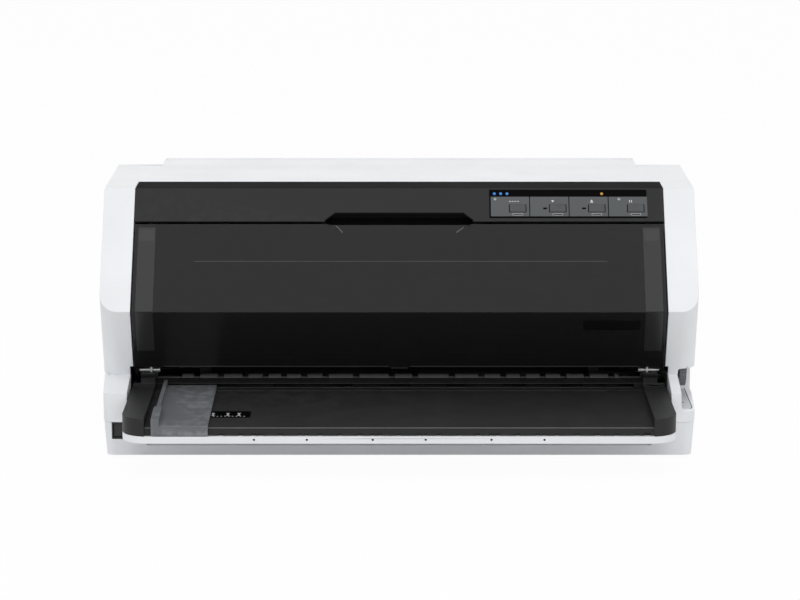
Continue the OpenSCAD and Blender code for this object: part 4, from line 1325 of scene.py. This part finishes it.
@dataclass
class Studio:
    """The camera at the photograph's angle, the pale floor and the soft light.

    Sizes are in metres, apart from floor_thick.
    """

    camera_y: float = -2.334
    camera_z: float = 0.5916
    pitch: float = 11.904
    focal_px: float = 2860.45
    centre_px: tuple[float, float] = (399.2, 306.0)
    width_px: int = 800
    height_px: int = 600
    sensor: float = 36.0
    ambient: float = 0.64
    floor_glow: float = 0.96
    floor_size: float = 24.0
    floor_thick: float = 20.0
    floor_cloud: float = 3.0
    floor_tone: Span = (0.86, 0.88)
    boxes: tuple[Lamp, ...] = (
        Lamp("key_box", (-0.2, -1.2, 2.9), (0.0, -0.05, 0.12), (2.6, 2.0), 35.0),
        Lamp("fill_box", (0.9, -2.4, 1.1), (0.0, 0.0, 0.1), (1.6, 1.2), 5.0),
    )

    def camera(self) -> None:
        """Makes the camera."""
        data = bpy.data.cameras.new("camera")
        data.sensor_width = self.sensor
        data.lens = self.focal_px * self.sensor / self.width_px
        data.shift_x = (self.width_px / 2 - self.centre_px[0]) / self.width_px
        data.shift_y = (self.centre_px[1] - self.height_px / 2) / self.width_px
        data.clip_start, data.clip_end = 0.05, 60.0
        camera = linked("camera", data)
        camera.location = (0.0, self.camera_y, self.camera_z)
        camera.rotation_euler = (math.radians(90 - self.pitch), 0.0, 0.0)
        bpy.context.scene.camera = camera

    def white_rays(self, wires: Wiring) -> bpy.types.NodeSocket:
        """1 for rays from the camera and through or off shiny surfaces, else 0."""
        path = wires.add("ShaderNodeLightPath").outputs
        seen = wires.maths("MAXIMUM", path["Is Camera Ray"], path["Is Glossy Ray"])
        return wires.maths("MAXIMUM", seen, path["Is Transmission Ray"])

    def world(self) -> None:
        """Makes the even light from all round, which is white where it is seen."""
        world = bpy.data.worlds.new("studio")
        bpy.context.scene.world = world
        wires = bare_wiring(world)
        strength = wires.ranged(self.white_rays(wires), 0.0, 1.0, self.ambient, 1.0)
        background = wires.add("ShaderNodeBackground", {"Color": (1.0, 1.0, 1.0), "Strength": strength})
        wires.add("ShaderNodeOutputWorld", {"Surface": background.outputs[0]})

    def floor(self) -> None:
        """Makes the pale floor, which keeps the object's shadow."""
        half = self.floor_size / 2 / MM
        floor = Shaper().slab((-half, -half, half, half), -self.floor_thick, 0.0).made("studio_floor")
        made = bpy.data.materials.new("floor_white")
        wires = bare_wiring(made)
        where = wires.add("ShaderNodeTexCoord").outputs["Object"]
        tint = wires.clouded(wires.noise(where, self.floor_cloud), *self.floor_tone)
        colour = wires.add("ShaderNodeCombineColor", {0: tint, 1: tint, 2: tint}).outputs[0]
        matt = wires.add("ShaderNodeBsdfDiffuse", {"Color": colour}).outputs[0]
        glow = wires.add("ShaderNodeEmission", {"Color": (1.0, 1.0, 1.0), "Strength": 1.0}).outputs[0]
        share = wires.maths("MULTIPLY", self.white_rays(wires), self.floor_glow)
        mix = wires.add("ShaderNodeMixShader", {0: share, 1: matt, 2: glow}).outputs[0]
        wires.add("ShaderNodeOutputMaterial", {"Surface": mix})
        floor.data.materials.append(made)

    def lamps(self) -> None:
        """Hangs the soft boxes."""
        for box in self.boxes:
            data = bpy.data.lights.new(box.name, "AREA")
            data.shape = "RECTANGLE"
            data.size, data.size_y = box.size
            data.energy = box.watts
            lamp = linked(box.name, data)
            lamp.location = box.place
            aim = Vector(box.target) - Vector(box.place)
            lamp.rotation_euler = aim.to_track_quat("-Z", "Y").to_euler()
            lamp.visible_glossy = False

    def build(self) -> None:
        """Makes the camera, the floor and the light."""
        bpy.context.scene.view_settings.view_transform = "Standard"
        self.camera()
        self.world()
        self.floor()
        self.lamps()


def main() -> None:
    """Builds the studio and then each sub-assembly."""
    logging.basicConfig(level=logging.INFO, format="%(name)s: %(message)s")
    Studio().build()
    units = [Case(), FrontPanel(), FrontCover(), PaperTable(), Controls(), PaperPath(), CarriageUnit(),
             TractorUnit(), Electronics()]
    for unit in units:
        unit.build()
        log.info("%s is built", type(unit).__name__)


if __name__ == "__main__":
    main()
